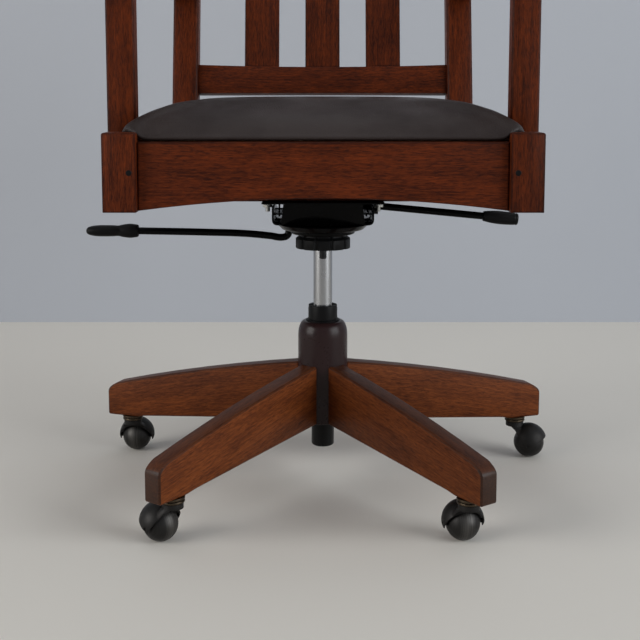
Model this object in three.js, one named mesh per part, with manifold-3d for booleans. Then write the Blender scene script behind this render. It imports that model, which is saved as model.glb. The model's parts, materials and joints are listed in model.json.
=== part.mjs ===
// A wooden bankers swivel chair with a leather seat, a tilt mechanism, a gas lift and hooded ball casters.
// Millimetres, +Z up, the sitter faces -Y. Left and right are as seen from the front.
// The floor is at z = 0, and the origin is under the middle of the chair's footprint.
import * as THREE from 'three';
import { mergeVertices } from 'three/addons/utils/BufferGeometryUtils.js';
import { ConvexGeometry } from 'three/addons/geometries/ConvexGeometry.js';
import { RoundedBoxGeometry } from 'three/addons/geometries/RoundedBoxGeometry.js';
import Module from 'manifold-3d';

const wasm = await Module();
wasm.setup();

// Clearances that all the pieces share
const seatGap = 0.3; // between pieces that touch
const runningGap = 0.25; // round a shaft that turns or slides
const overrun = 4; // how far a cutting tool passes the face that it cuts
const meshTolerance = 0.02; // flat faces are joined up within this
const weldDistance = 1e-4; // points this close are one

// Star base
const legCount = 5;
const baseTurn = THREE.MathUtils.degToRad(0.75); // clockwise from above, as the photograph shows it
const legReach = 360; // column axis to the end of a leg
const legThickness = 28;
const legTopAtHub = 177.5;
const legBottomAtHub = 89.5;
const legTopAtEnd = 111;
const legTopCrown = 5.5; // how far the top edge bows above a straight line
const legNoseRadius = 16;
const legToeRadius = 4;
const legEasing = 2.2;
const footHeight = 65.5; // underside of the foot, where the caster sits
const footStep = 3; // the foot stands this far below the leg's slanting underside
const footLength = 70;
const stepLength = 26;
const stemInset = 37; // leg end to the middle of a caster stem
const stemReach = legReach - stemInset;
const tenonThickness = 12;
const tenonDepth = 8;
const tenonShoulder = 10; // leg edge to tenon edge, above and below

// Hub
const hubRadius = 37;
const hubBottom = 89.8;
const hubShoulder = 219; // where the rounded shoulder starts
const hubTop = 241;
const hubMouthRadius = 27.5;

// Column tube and its guide collar
const tubeRadius = 25;
const tubeWall = 2;
const tubeTop = 240.5;
const taperTop = 128;
const taperBottom = 100;
const tubeEndRadius = 17;
const tubeBottom = 49.5;
const tubeBottomWall = 3;
const tubeEndRounding = 4;
const collarRadius = 21.75;
const collarTop = 265;
const collarFlangeRadius = 24.4;
const collarFlangeThickness = 2.5;
const guideBottom = 196;
const collarNotchWidth = 9;
const collarNotchDepth = 5;

// Gas spring
const cylinderRadius = 14;
const cylinderBottom = 150;
const cylinderTop = 402;
const cylinderWall = 2;
const glandHeight = 15;
const cavityRoof = 380;
const cylinderEdge = 1;
const rodRadius = 5;
const rodBottom = 56;
const pistonHeadBottom = 250;
const pistonHeadHeight = 12;
const bearingRadius = 12;
const bearingHeight = 9;
const valveRadius = 3.5;
const valveTop = 407;
const valveBottom = 393;
const valveTravel = 4.7;

// Casters
const wheelRadius = 23.8;
const wheelHalfWidth = 22;
const trail = 23; // caster stem to wheel centre
const hoodRadius = 28;
const hoodInnerRadius = 26.6;
const hoodRise = 2.2; // wheel centre up to the middle of the hood's ball
const hoodTolerance = 0.2; // the hood's facets are joined up within this
const axleRadius = 3;
const archRadius = 12; // the opening between the hood's cheeks
const archRise = 6; // wheel centre up to the middle of the opening
const cheekDrop = 7.9; // wheel centre down to the tip of each cheek
const cheekSetback = 3; // wheel centre to the tips, towards the stem
const cheekFrontSlope = THREE.MathUtils.degToRad(45);
const cheekBackSlope = THREE.MathUtils.degToRad(30);
const axleHoleRadius = 2.4; // the sunk end of the axle, in each cheek
const neckRadius = 14;
const neckTop = 57.4;
const neckDisc = 7.4;
const raceRadius = 16;
const raceThickness = 3;
const raceGroove = 1.4;
const raceGrooveDepth = 3;
const stemRadius = 5.5;
const stemLength = 36; // inside the leg
const rivetRadius = 4;
// Where each caster points at rest, from +X, going round from the back leg
const casterHeadings = [-29, -13.75, 101.4, 143, 84].map((angle) => THREE.MathUtils.degToRad(angle));
const legPlaces = ['back', 'right_back', 'right_front', 'left_front', 'left_back'];

// Control pan of the tilt mechanism
const panHalfWidth = 71;
const panBottom = 396.3;
const panTop = 421.5;
const panTopAtBack = 405;
const panFront = -107;
const panBack = 50;
const panCorner = 8.5;
const sheet = 2.5;
const bridgeTop = 413.4;
const bridgeFront = -104;
const bridgeBack = -56;
const axleY = -28;
const axleZ = 408;
const tiltAxleRadius = 5;
const tiltAxleHead = 6.5;
const tiltAxleHeadThickness = 1.2;
const tiltAxleTail = 4.6; // the plain end on the right
const tiltAxleTailLength = 9;
const socketRadius = 19;
const socketTop = 402.5;
const socketBottom = 372;
const tiltLimit = THREE.MathUtils.degToRad(12);

// Tension bolt, knob, spring and the stepped dish round them
const tensionY = -80;
const dishRadius = 59.5;
const dishTopInset = 2.5;
const dishStepRadius = 45;
const dishMouth = 39.5;
const dishTop = 396.8;
const dishStep = 388;
const dishBottom = 382.5;
const springHole = 34;
const springRadius = 20.5; // to the middle of the wire, at the bottom
const springTopRadius = 14;
const springWire = 4.8;
const springTurns = 5;
const springSteps = 8; // places worked out in each turn
const boltRadius = 5.2;
const boltBottom = 346;
const boltHeadRadius = 9.4;
const boltHeadDome = 4; // the head rocks on its domed underside as the seat tilts
const boltHeadRim = 1.5;
const knobRadius = 38.5;
const knobBottom = 362.2;
const knobRimTop = 375.5;
const knobNeckRadius = 34;
const knobNeckBottom = 378.9;
const knobTop = 382.8;
const knobFluteCount = 11;
const knobFluteTurn = 0.82; // of one flute's share of the rim
const knobFluteRadius = 2.6;
const knobDish = 1.5; // hollow in the knob's underside
const knobRimWall = 8;
const knobFloor = 367.2; // the spring stands on this, inside the knob's cup
const knobCupRadius = 26.5;

// Seat plate
const plateHalfWidth = 85;
const plateFront = -112;
const plateBack = 70;
const plateBottom = 426.2;
const flangeHalfWidth = 55;
const flangeBottom = 398.6;
const flangeCorner = 5;
const lugHalfWidth = 8;
const lugBottom = 401;
const lugInset = 4; // pan wall to lug
const strapHalfWidth = 14.5; // the strap under the plate that lifts the tension bolt
const strapHalfLength = 10;

// Levers
const leverRadius = 5.3;
const liftLeverY = -12;
const liftFulcrumX = 70;
const lockLeverX = -50;
const lockLeverY = -15;
const gripWrap = 3; // how far a rod enters its handle's bore
const paddleNeckRadius = 7.4;
const ferruleRadius = 10.5;
const ferruleLength = 28;
const paddleLength = 51;
const paddleHalfHeight = 8.4;
const paddleHalfDepth = 11;
const paddleLap = 2.4; // paddle into ferrule
const capsuleRadius = 9.8;
const capsuleLength = 51.5;
// Handle profiles as a share of the radius and a share of the length
const ferruleShares = [[0.93, 0], [0.97, 0.1], [1, 0.35], [0.98, 0.55], [0.87, 0.85], [0.76, 1]];
const paddleShares = [[0.8, 0], [0.97, 0.2], [1, 0.45], [0.98, 0.65], [0.86, 0.82], [0.64, 0.94], [0.32, 1]];
const capsuleShares = [[0.74, 0], [0.88, 0.16], [0.98, 0.36], [1, 0.52], [0.95, 0.75], [0.86, 0.94], [0.6, 1]];

// Seat frame
const blockSize = 44;
const blockOuterX = 279.6;
const blockFront = -245;
const blockBottom = 428;
const blockTop = 529.4;
const blockEasing = 4.5;
const railThickness = 22;
const railTop = 517.6;
const railBottom = 430;
const railEasing = 1.5;
const frontRailSetback = 10;
const frontRailArch = 15.8;
const backRailBottom = 446;
const crossRailHeight = 22;
const crossRailWidth = 50;
const crossRailInset = 3; // mounting board edge to cross rail edge
const boardHalfWidth = 122;
const boardThickness = 20;
const boardFront = -100;
const boardBack = 95;
const deckThickness = 9;
const deckInset = 14;

// Back
const postWidth = 42;
const postDepth = 38;
const postInnerX = 206.8;
const postFront = 200;
const postBend = 540; // height where the posts start to lean
const postLean = 455; // length of the leaning stretch
const postTopDepth = 30;
const rake = THREE.MathUtils.degToRad(12);
const backThickness = 22;
const backBow = 15;
const backSetIn = 8; // post front to rail front, at the posts
const lowerRailFoot = 42.2; // along the lean, from the bend
const lowerRailHeight = 48;
const lowerRailArch = 3.5;
const crestFoot = 338;
const crestHeight = 86;
const crestArch = 18;
const slatCount = 3;
const slatWidth = 58;
const slatThickness = 9;
const slatSpacing = 102;
const slatEasing = 1.5;

// Arms and arm posts
const armPostWidth = 38;
const armPostDepth = 28;
const armPostOuterX = 286.2;
const armPostFront = -161;
const armPostFoot = 440;
const armUnderside = 742;
const armThickness = 22;
const armFront = -236;
const armInnerX = 234;
const armWidth = 84;
const armBulge = 8;
const armBack = 262;
const armBackOuterX = 265;
const armCorner = 20;
const postEasing = 3;

// Cushion
const cushionHalfWidth = 267.5;
const cushionBackHalfWidth = 238;
const cushionFront = -233;
const cushionBack = 196;
const cushionCorner = 24;
const cushionCrown = 573;
const cushionGap = 2; // round the posts and blocks
// Each ring of the pad as a share of its outline and a share of its height
const cushionShares = [
  [0.982, 0], [0.997, 0.07], [1, 0.17], [0.995, 0.28], [0.98, 0.42], [0.955, 0.55],
  [0.915, 0.67], [0.86, 0.78], [0.78, 0.87], [0.66, 0.935], [0.48, 0.975], [0.25, 0.995],
];

// Finishes, as colour, roughness and metalness
const finish = (color, roughness, metalness = 0) =>
  new THREE.MeshStandardMaterial({ color, roughness, metalness });
const oak = finish(0x5f2c17, 0.45);
const leather = finish(0x2c2523, 0.5);
const plywood = finish(0xa58458, 0.8);
const hubPaint = finish(0x34262a, 0.4);
const blackPaint = finish(0x17171a, 0.4, 0.2);
const blackPlastic = finish(0x18191b, 0.5);
const satinSteel = finish(0xa8a8ac, 0.28, 1);
const darkSteel = finish(0x4a4a4c, 0.45, 0.9);
const gunmetal = finish(0x3b3c3d, 0.3, 0.8);
const antiqueBrass = finish(0x8a7658, 0.4, 0.9);

const axisX = new THREE.Vector3(1, 0, 0);
const axisY = new THREE.Vector3(0, 1, 0);
const axisZ = new THREE.Vector3(0, 0, 1);
// Turns an outline drawn in x and y so that its y is up and its thickness runs along Y or along X
const upright = new THREE.Matrix4().makeBasis(axisX, axisZ, axisY.clone().negate());
const inProfile = new THREE.Matrix4().makeBasis(axisY, axisZ, axisX);
const lathed = new THREE.Matrix4().makeRotationX(Math.PI / 2);

// A geometry as a manifold solid
function toSolid(geometry) {
  const bare = geometry.clone();
  for (const name of Object.keys(bare.attributes)) if (name !== 'position') bare.deleteAttribute(name);
  const merged = mergeVertices(bare, weldDistance);
  const mesh = new wasm.Mesh({
    numProp: 3,
    vertProperties: Float32Array.from(merged.attributes.position.array),
    triVerts: Uint32Array.from(merged.index.array),
  });
  return new wasm.Manifold(mesh);
}

// A manifold solid as a flat shaded geometry
function toGeometry(solid) {
  const mesh = solid.asOriginal().simplify(meshTolerance).getMesh();
  const geometry = new THREE.BufferGeometry();
  geometry.setAttribute('position', new THREE.BufferAttribute(Float32Array.from(mesh.vertProperties), 3));
  geometry.setIndex(Array.from(mesh.triVerts));
  return faceted(geometry);
}

function faceted(geometry) {
  const flat = geometry.index ? geometry.toNonIndexed() : geometry;
  flat.computeVertexNormals();
  return flat;
}

const cut = (body, ...tools) =>
  toGeometry(tools.reduce((solid, tool) => solid.subtract(toSolid(tool)), toSolid(body)));
const join = (body, ...others) =>
  toGeometry(others.reduce((solid, other) => solid.add(toSolid(other)), toSolid(body)));
const common = (one, other) => toGeometry(toSolid(one).intersect(toSolid(other)));

// A box from its low corner to its high corner
function block([x0, y0, z0], [x1, y1, z1]) {
  const box = new THREE.BoxGeometry(x1 - x0, y1 - y0, z1 - z0);
  return box.translate((x0 + x1) / 2, (y0 + y1) / 2, (z0 + z1) / 2);
}

function easedBlock([x0, y0, z0], [x1, y1, z1], easing) {
  const box = new RoundedBoxGeometry(x1 - x0, y1 - y0, z1 - z0, 1, easing);
  return box.translate((x0 + x1) / 2, (y0 + y1) / 2, (z0 + z1) / 2);
}

// A profile of [radius, height] points, turned about Z
function turned(profile, segments) {
  const points = profile.map(([radius, height]) => new THREE.Vector2(radius, height));
  return new THREE.LatheGeometry(points, segments).applyMatrix4(lathed);
}

function rod(radius, z0, z1, segments = 24) {
  return turned([[0, z0], [radius, z0], [radius, z1], [0, z1]], segments);
}

// A cylinder along X or along Y, between two places on that axis
const rodAlongX = (radius, x0, x1, segments) => rod(radius, x0, x1, segments).rotateY(Math.PI / 2);
const rodAlongY = (radius, y0, y1, segments) => rod(radius, -y1, -y0, segments).rotateX(Math.PI / 2);

function outlineOf(points) {
  return new THREE.Shape(points.map(([x, y]) => new THREE.Vector2(x, y)));
}

// A board of an outline in x and y, with eased edges, centred on its thickness
function board(outline, thickness, easing, curveSegments = 8) {
  const geometry = new THREE.ExtrudeGeometry(outline, {
    depth: thickness - 2 * easing,
    bevelEnabled: easing > 0,
    bevelThickness: easing,
    bevelSize: easing,
    bevelOffset: -easing,
    bevelSegments: 1,
    curveSegments,
  });
  return geometry.translate(0, 0, easing - thickness / 2);
}

// A plain extrusion that stands from z0 to z1
function prism(outline, z0, z1, curveSegments = 8) {
  const geometry = new THREE.ExtrudeGeometry(outline, { depth: z1 - z0, bevelEnabled: false, curveSegments });
  return geometry.translate(0, 0, z0);
}

function part(name, geometry, material, parent) {
  const mesh = new THREE.Mesh(geometry, material);
  mesh.name = name;
  parent.add(mesh);
  return mesh;
}

const mirrored = (geometry) => toGeometry(toSolid(geometry).scale([-1, 1, 1]));

const chair = new THREE.Group();

// The leg's side view: radius from the column against height
function legOutline() {
  const inner = hubRadius / 2;
  const underside = (r) => legBottomAtHub + ((footHeight + footStep - legBottomAtHub) * (r - hubRadius)) / run;
  const footStart = legReach - footLength;
  const run = footStart - hubRadius;
  const topSlope = (legTopAtEnd - legTopAtHub) / (legReach - hubRadius);
  const onTop = (r) => legTopAtHub + topSlope * (r - hubRadius);
  const middle = (hubRadius + legReach) / 2;
  const noseStart = legReach - legNoseRadius;
  const outline = new THREE.Shape();
  outline.moveTo(inner, underside(inner));
  outline.lineTo(footStart, underside(footStart));
  outline.bezierCurveTo(
    footStart + stepLength / 2, underside(footStart + stepLength / 2),
    footStart + stepLength / 2, footHeight, footStart + stepLength, footHeight);
  outline.lineTo(legReach - legToeRadius, footHeight);
  outline.quadraticCurveTo(legReach, footHeight, legReach, footHeight + legToeRadius);
  outline.lineTo(legReach, onTop(legReach) - legNoseRadius / 2);
  outline.quadraticCurveTo(legReach, onTop(legReach), noseStart, onTop(noseStart) + legNoseRadius / 4);
  outline.quadraticCurveTo(middle, onTop(middle) + 2 * legTopCrown, hubRadius, legTopAtHub);
  outline.lineTo(inner, onTop(inner));
  return outline;
}

// One leg along +X: coped to the hub, with a tenon and a bore for the caster stem
function legGeometry() {
  const blank = board(legOutline(), legThickness, legEasing, 6).applyMatrix4(upright);
  const cope = rod(hubRadius + seatGap, legBottomAtHub - legThickness, legTopAtHub + legThickness, 30);
  const coped = cut(blank, cope);
  const tenon = block(
    [hubRadius - tenonDepth, -tenonThickness / 2, legBottomAtHub + tenonShoulder],
    [hubRadius + tenonDepth, tenonThickness / 2, legTopAtHub - tenonShoulder]);
  const bore = rod(stemRadius + seatGap, footHeight - overrun, footHeight + stemLength + seatGap, 12);
  return cut(join(coped, tenon), bore.translate(stemReach, 0, 0));
}

// The rounded shoulder from the hub's side to its mouth
function hubShoulderPoints(steps) {
  const points = [];
  for (let i = 0; i <= steps; i++) {
    const angle = (Math.PI / 2) * (i / steps);
    points.push([
      hubMouthRadius + (hubRadius - hubMouthRadius) * Math.cos(angle),
      hubShoulder + (hubTop - hubShoulder) * Math.sin(angle),
    ]);
  }
  return points;
}

function hubGeometry() {
  const bore = tubeRadius + seatGap;
  const endBore = tubeEndRadius + seatGap;
  const body = turned([
    [endBore, hubBottom], [hubRadius, hubBottom], ...hubShoulderPoints(3),
    [bore, hubTop], [bore, taperTop], [endBore, taperBottom], [endBore, hubBottom],
  ], 30);
  const slots = [];
  for (let i = 0; i < legCount; i++) {
    const slot = block(
      [hubRadius - tenonDepth - seatGap, -tenonThickness / 2 - seatGap, legBottomAtHub + tenonShoulder - seatGap],
      [hubRadius + overrun, tenonThickness / 2 + seatGap, legTopAtHub - tenonShoulder + seatGap]);
    slots.push(slot.rotateZ(legAngle(i)));
  }
  return cut(body, ...slots);
}

function columnTubeGeometry() {
  const inner = tubeRadius - tubeWall;
  const endInner = tubeEndRadius - tubeWall;
  const floor = tubeBottom + tubeBottomWall;
  return turned([
    [0, tubeBottom], [tubeEndRadius - tubeEndRounding, tubeBottom],
    [tubeEndRadius - tubeEndRounding / 3, tubeBottom + tubeEndRounding / 3],
    [tubeEndRadius, tubeBottom + tubeEndRounding], [tubeEndRadius, taperBottom], [tubeRadius, taperTop],
    [tubeRadius, tubeTop], [inner, tubeTop], [inner, taperTop], [endInner, taperBottom], [endInner, floor],
    [0, floor],
  ], 20);
}

// The guide bush: a sleeve inside the tube, a flange on its rim and a notched cup above
function collarGeometry() {
  const sleeve = tubeRadius - tubeWall - seatGap;
  const bore = cylinderRadius + runningGap;
  const flangeBottom = tubeTop + seatGap;
  const flangeTop = flangeBottom + collarFlangeThickness;
  const body = turned([
    [bore, guideBottom], [sleeve, guideBottom], [sleeve, flangeBottom], [collarFlangeRadius, flangeBottom],
    [collarFlangeRadius, flangeTop], [collarRadius, flangeTop], [collarRadius, collarTop - seatGap],
    [collarRadius - seatGap, collarTop], [bore + collarNotchDepth / 2, collarTop],
    [bore, collarTop - collarNotchDepth / 2], [bore, guideBottom],
  ], 20);
  const notch = block(
    [-collarRadius - overrun, -collarNotchWidth / 2, collarTop - collarNotchDepth],
    [collarRadius + overrun, collarNotchWidth / 2, collarTop + overrun]);
  return cut(body, notch);
}

// The cylinder is open at its gland, where the rod passes, and has a blind hole for the valve button
function cylinderGeometry() {
  const bore = cylinderRadius - cylinderWall;
  const gland = rodRadius + runningGap;
  const valveHole = valveRadius + runningGap;
  const valveHoleBottom = valveBottom - valveTravel - seatGap;
  return turned([
    [0, cavityRoof], [bore, cavityRoof], [bore, cylinderBottom + glandHeight],
    [gland, cylinderBottom + glandHeight], [gland, cylinderBottom], [cylinderRadius - cylinderEdge, cylinderBottom],
    [cylinderRadius, cylinderBottom + cylinderEdge], [cylinderRadius, cylinderTop - cylinderEdge],
    [cylinderRadius - cylinderEdge, cylinderTop], [valveHole, cylinderTop], [valveHole, valveHoleBottom],
    [0, valveHoleBottom],
  ], 20);
}

function pistonRodGeometry() {
  const head = cylinderRadius - cylinderWall - runningGap;
  const headTop = pistonHeadBottom + pistonHeadHeight;
  return turned([
    [0, rodBottom], [rodRadius, rodBottom], [rodRadius, pistonHeadBottom], [head, pistonHeadBottom],
    [head, headTop], [0, headTop],
  ], 16);
}

function bearingGeometry() {
  const bore = rodRadius + seatGap;
  const low = tubeBottom + tubeBottomWall + seatGap;
  return turned([
    [bore, low], [bearingRadius, low], [bearingRadius, low + bearingHeight], [bore, low + bearingHeight],
    [bore, low],
  ], 14);
}

// Caster pieces, with the stem on the Z axis and the wheel behind it along +X
function casterStemGeometry() {
  const top = footHeight - seatGap;
  const groove = raceRadius - raceGrooveDepth;
  const upper = top - raceThickness;
  const lower = upper - raceGroove;
  const bottom = neckTop + seatGap;
  const tip = neckTop - neckDisc - seatGap;
  return turned([
    [0, tip], [rivetRadius, tip], [rivetRadius, bottom], [raceRadius - raceGroove, bottom], [raceRadius, lower],
    [groove, lower], [groove, upper], [raceRadius, upper], [raceRadius, top], [stemRadius, top],
    [stemRadius, footHeight + stemLength - seatGap], [0, footHeight + stemLength - seatGap],
  ], 10);
}

// A ring of points round an axis, for the neck's convex skin
function ringPoints(centre, radius, u, v, count) {
  const points = [];
  for (let i = 0; i < count; i++) {
    const angle = (2 * Math.PI * i) / count;
    const point = centre.clone().addScaledVector(u, radius * Math.cos(angle));
    points.push(point.addScaledVector(v, radius * Math.sin(angle)));
  }
  return points;
}

// The neck runs from the race down onto the ball of the hood
function casterNeckGeometry() {
  const disc = ringPoints(new THREE.Vector3(0, 0, neckTop), neckRadius, axisX, axisY, 10);
  const discFoot = ringPoints(new THREE.Vector3(0, 0, neckTop - neckDisc), neckRadius, axisX, axisY, 10);
  const centre = wheelRadius + hoodRise;
  const lean = Math.atan2(neckTop - centre, trail);
  const across = new THREE.Vector3(Math.sin(lean), 0, Math.cos(lean));
  const ball = ringPoints(new THREE.Vector3(trail, 0, centre), hoodRadius - raceGroove, across, axisY, 12);
  return new ConvexGeometry([...disc, ...discFoot, ...ball]);
}

function ballAt(radius) {
  return new THREE.SphereGeometry(radius, 14, 8).translate(trail, 0, wheelRadius + hoodRise);
}

// The hood: a ball with two pointed cheeks, an arch between them in front and a neck under the race
function casterHoodGeometry() {
  const shell = cut(join(ballAt(hoodRadius), casterNeckGeometry()), ballAt(hoodInnerRadius));
  const arch = rodAlongX(archRadius, -raceRadius - overrun, trail, 12).translate(0, 0, wheelRadius + archRise);
  const reach = 2 * hoodRadius + trail;
  const below = (slope) => block([-reach, -reach, -reach], [reach, reach, 0])
    .rotateY(slope).translate(trail - cheekSetback, 0, wheelRadius - cheekDrop);
  const rivetHole = rod(rivetRadius + seatGap, wheelRadius + archRise, neckTop + overrun, 10);
  const open = cut(shell, arch, below(cheekFrontSlope), below(-cheekBackSlope), rivetHole);
  const axleEnd = hoodInnerRadius;
  const sunk = hoodInnerRadius - (hoodRadius - hoodInnerRadius) / 4;
  const axle = rodAlongY(axleRadius, -axleEnd, axleEnd, 8).translate(trail, 0, wheelRadius);
  const holes = [[-reach, -sunk], [sunk, reach]].map(([y0, y1]) =>
    rodAlongY(axleHoleRadius, y0, y1, 8).translate(trail, 0, wheelRadius));
  return toGeometry(toSolid(cut(join(open, axle), ...holes)).simplify(hoodTolerance));
}

// A ball wheel, a little flattened on its flanks, with its vertices on the floor
function wheelGeometry() {
  const bore = axleRadius + runningGap;
  const shares = [[1, 0], [0.955, 0.28], [0.8, 0.6], [0.6, 0.83], [0.38, 1]];
  const half = shares.map(([radiusShare, widthShare]) => [wheelRadius * radiusShare, wheelHalfWidth * widthShare]);
  const lower = half.slice(1).reverse().map(([radius, width]) => [radius, -width]);
  const profile = [[bore, -wheelHalfWidth], ...lower, ...half, [bore, wheelHalfWidth], [bore, -wheelHalfWidth]];
  const wheel = turned(profile, 16).rotateX(Math.PI / 2);
  return wheel.translate(trail, 0, wheelRadius);
}

const legAngle = (i) => Math.PI / 2 - baseTurn - (2 * Math.PI * i) / legCount;

function addCasters(base) {
  const stem = faceted(casterStemGeometry());
  const hood = casterHoodGeometry();
  const wheel = faceted(wheelGeometry());
  legPlaces.forEach((place, i) => {
    const caster = new THREE.Group();
    caster.position.set(stemReach * Math.cos(legAngle(i)), stemReach * Math.sin(legAngle(i)), 0);
    caster.rotation.z = casterHeadings[i];
    base.add(caster);
    part(`caster_${place}_stem`, stem, antiqueBrass, caster);
    part(`caster_${place}_hood`, hood, gunmetal, caster);
    part(`caster_${place}_wheel`, wheel, gunmetal, caster);
  });
}

function addBase() {
  const base = new THREE.Group();
  chair.add(base);
  part('hub', hubGeometry(), hubPaint, base);
  const leg = legGeometry();
  legPlaces.forEach((place, i) => {
    part(`leg_${place}`, leg, oak, base).rotation.z = legAngle(i);
  });
  part('column_tube', faceted(columnTubeGeometry()), blackPaint, base);
  part('column_collar', collarGeometry(), blackPlastic, base);
  addCasters(base);
}

function addGasLift() {
  part('piston_rod', faceted(pistonRodGeometry()), satinSteel, chair);
  part('thrust_bearing', faceted(bearingGeometry()), darkSteel, chair);
  part('gas_cylinder', faceted(cylinderGeometry()), satinSteel, chair);
  part('valve_button', faceted(rod(valveRadius, valveBottom, valveTop, 16)), darkSteel, chair);
}

// The pan's cross section: a channel with rounded lower corners
function panSection() {
  const outer = new THREE.Shape();
  const top = Math.max(panTop, bridgeTop);
  const inner = panHalfWidth - sheet;
  const innerCorner = panCorner - sheet;
  outer.moveTo(-panHalfWidth, top);
  outer.lineTo(-panHalfWidth, panBottom + panCorner);
  outer.quadraticCurveTo(-panHalfWidth, panBottom, -panHalfWidth + panCorner, panBottom);
  outer.lineTo(panHalfWidth - panCorner, panBottom);
  outer.quadraticCurveTo(panHalfWidth, panBottom, panHalfWidth, panBottom + panCorner);
  outer.lineTo(panHalfWidth, top);
  outer.lineTo(inner, top);
  outer.lineTo(inner, panBottom + sheet + innerCorner);
  outer.quadraticCurveTo(inner, panBottom + sheet, inner - innerCorner, panBottom + sheet);
  outer.lineTo(-inner + innerCorner, panBottom + sheet);
  outer.quadraticCurveTo(-inner, panBottom + sheet, -inner, panBottom + sheet + innerCorner);
  outer.lineTo(-inner, top);
  return outer;
}

// The stepped dish under the pan, round the tension bolt
function dishGeometry() {
  return turned([
    [dishMouth, dishBottom], [dishStepRadius, dishBottom],
    [dishStepRadius, dishStep], [dishRadius - 2 * sheet, dishStep], [dishRadius, dishStep + sheet],
    [dishRadius, dishTop - sheet], [dishRadius - dishTopInset, dishTop], [dishMouth, dishTop],
    [dishMouth, dishBottom],
  ], 24).translate(0, tensionY, 0);
}

// The pan's walls slope down behind the axle, to clear the seat plate when the seat tilts
function panWallTrim() {
  const fall = (panTop - panTopAtBack) / (panBack - axleY);
  return prism(outlineOf([
    [axleY, panTop], [panBack + overrun, panTopAtBack - overrun * fall], [panBack + overrun, panTop + overrun],
    [panFront - overrun, panTop + overrun], [panFront - overrun, panTop],
  ]), -plateHalfWidth, plateHalfWidth).applyMatrix4(inProfile);
}

function panGeometry() {
  const channel = prism(panSection(), -panBack, -panFront, 5).applyMatrix4(upright);
  const bridge = block(
    [sheet / 2 - panHalfWidth, bridgeFront, bridgeTop - sheet], [panHalfWidth - sheet / 2, bridgeBack, bridgeTop]);
  const low = panBottom - overrun;
  const liftSlotBottom = liftLeverRodZ(liftFulcrumX) - leverRadius - seatGap;
  const liftSlot = block(
    [panHalfWidth - sheet - overrun, liftLeverY - leverRadius - 1.2 * seatGap, liftSlotBottom],
    [panHalfWidth + overrun, liftLeverY + leverRadius + 1.2 * seatGap, panTop + overrun]);
  return cut(
    join(channel, bridge, dishGeometry()),
    panWallTrim(),
    rod(socketRadius + seatGap, low, bridgeTop, 20),
    rod(springHole, low, bridgeTop - sheet - seatGap, 20).translate(0, tensionY, 0),
    rod(boltRadius + 2 * seatGap, low, bridgeTop + overrun, 16).translate(0, tensionY, 0),
    rod(leverRadius + seatGap, low, panBottom + overrun, 12).translate(lockLeverX, lockLeverY, 0),
    rodAlongX(tiltAxleRadius + runningGap, -plateHalfWidth, plateHalfWidth, 12).translate(0, axleY, axleZ),
    liftSlot);
}

function socketGeometry() {
  const bore = cylinderRadius + seatGap;
  return turned([
    [bore, socketBottom], [socketRadius - sheet / 2, socketBottom], [socketRadius, socketBottom + sheet / 2],
    [socketRadius, socketTop], [bore, socketTop], [bore, socketBottom],
  ], 20);
}

function tiltAxleGeometry() {
  const wall = panHalfWidth + seatGap;
  const end = wall + tiltAxleHeadThickness;
  const axle = turned([
    [0, -end], [tiltAxleHead, -end], [tiltAxleHead, -wall], [tiltAxleRadius, -wall],
    [tiltAxleRadius, wall], [tiltAxleHead, wall], [tiltAxleHead, end], [tiltAxleTail, end],
    [tiltAxleTail, wall + tiltAxleTailLength], [0, wall + tiltAxleTailLength],
  ], 12);
  return axle.rotateY(Math.PI / 2).translate(0, axleY, axleZ);
}

// A conical spring, wound up the tension bolt from the floor of the knob's cup to the bridge
class ConicalHelix extends THREE.Curve {
  getPoint(t, target = new THREE.Vector3()) {
    const low = knobFloor + seatGap + springWire / 2;
    const high = bridgeTop - sheet - seatGap - springWire / 2;
    const angle = 2 * Math.PI * springTurns * t;
    const radius = THREE.MathUtils.lerp(springRadius, springTopRadius, t);
    return target.set(
      radius * Math.cos(angle), tensionY + radius * Math.sin(angle), THREE.MathUtils.lerp(low, high, t));
  }
}

function springGeometry() {
  const steps = springSteps * springTurns;
  const path = new ConicalHelix();
  const points = Array.from({ length: steps + 1 }, (_, i) => path.getPoint(i / steps));
  let least = Infinity;
  for (let i = 0; i <= steps; i++)
    for (let j = i + springSteps / 2; j <= steps; j++)
      least = Math.min(least, points[i].distanceTo(points[j]) - springWire);
  console.log(`tension_spring: least gap between turns ${least.toFixed(2)} mm`);
  const section = new THREE.Shape(ringPoints(new THREE.Vector3(), springWire / 2, axisX, axisY, 5));
  return new THREE.ExtrudeGeometry(section, { steps, extrudePath: path });
}

const strapBottom = bridgeTop + seatGap;
const strapTop = strapBottom + sheet;

function boltGeometry() {
  const headBottom = strapTop + seatGap;
  const headRim = headBottom + boltHeadDome;
  const headTop = headRim + boltHeadRim;
  const tip = boltRadius / 5;
  return turned([
    [0, boltBottom], [boltRadius - tip, boltBottom], [boltRadius, boltBottom + tip], [boltRadius, headBottom],
    [boltHeadRadius, headRim], [boltHeadRadius, headTop], [0, headTop],
  ], 12).translate(0, tensionY, 0);
}

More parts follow.
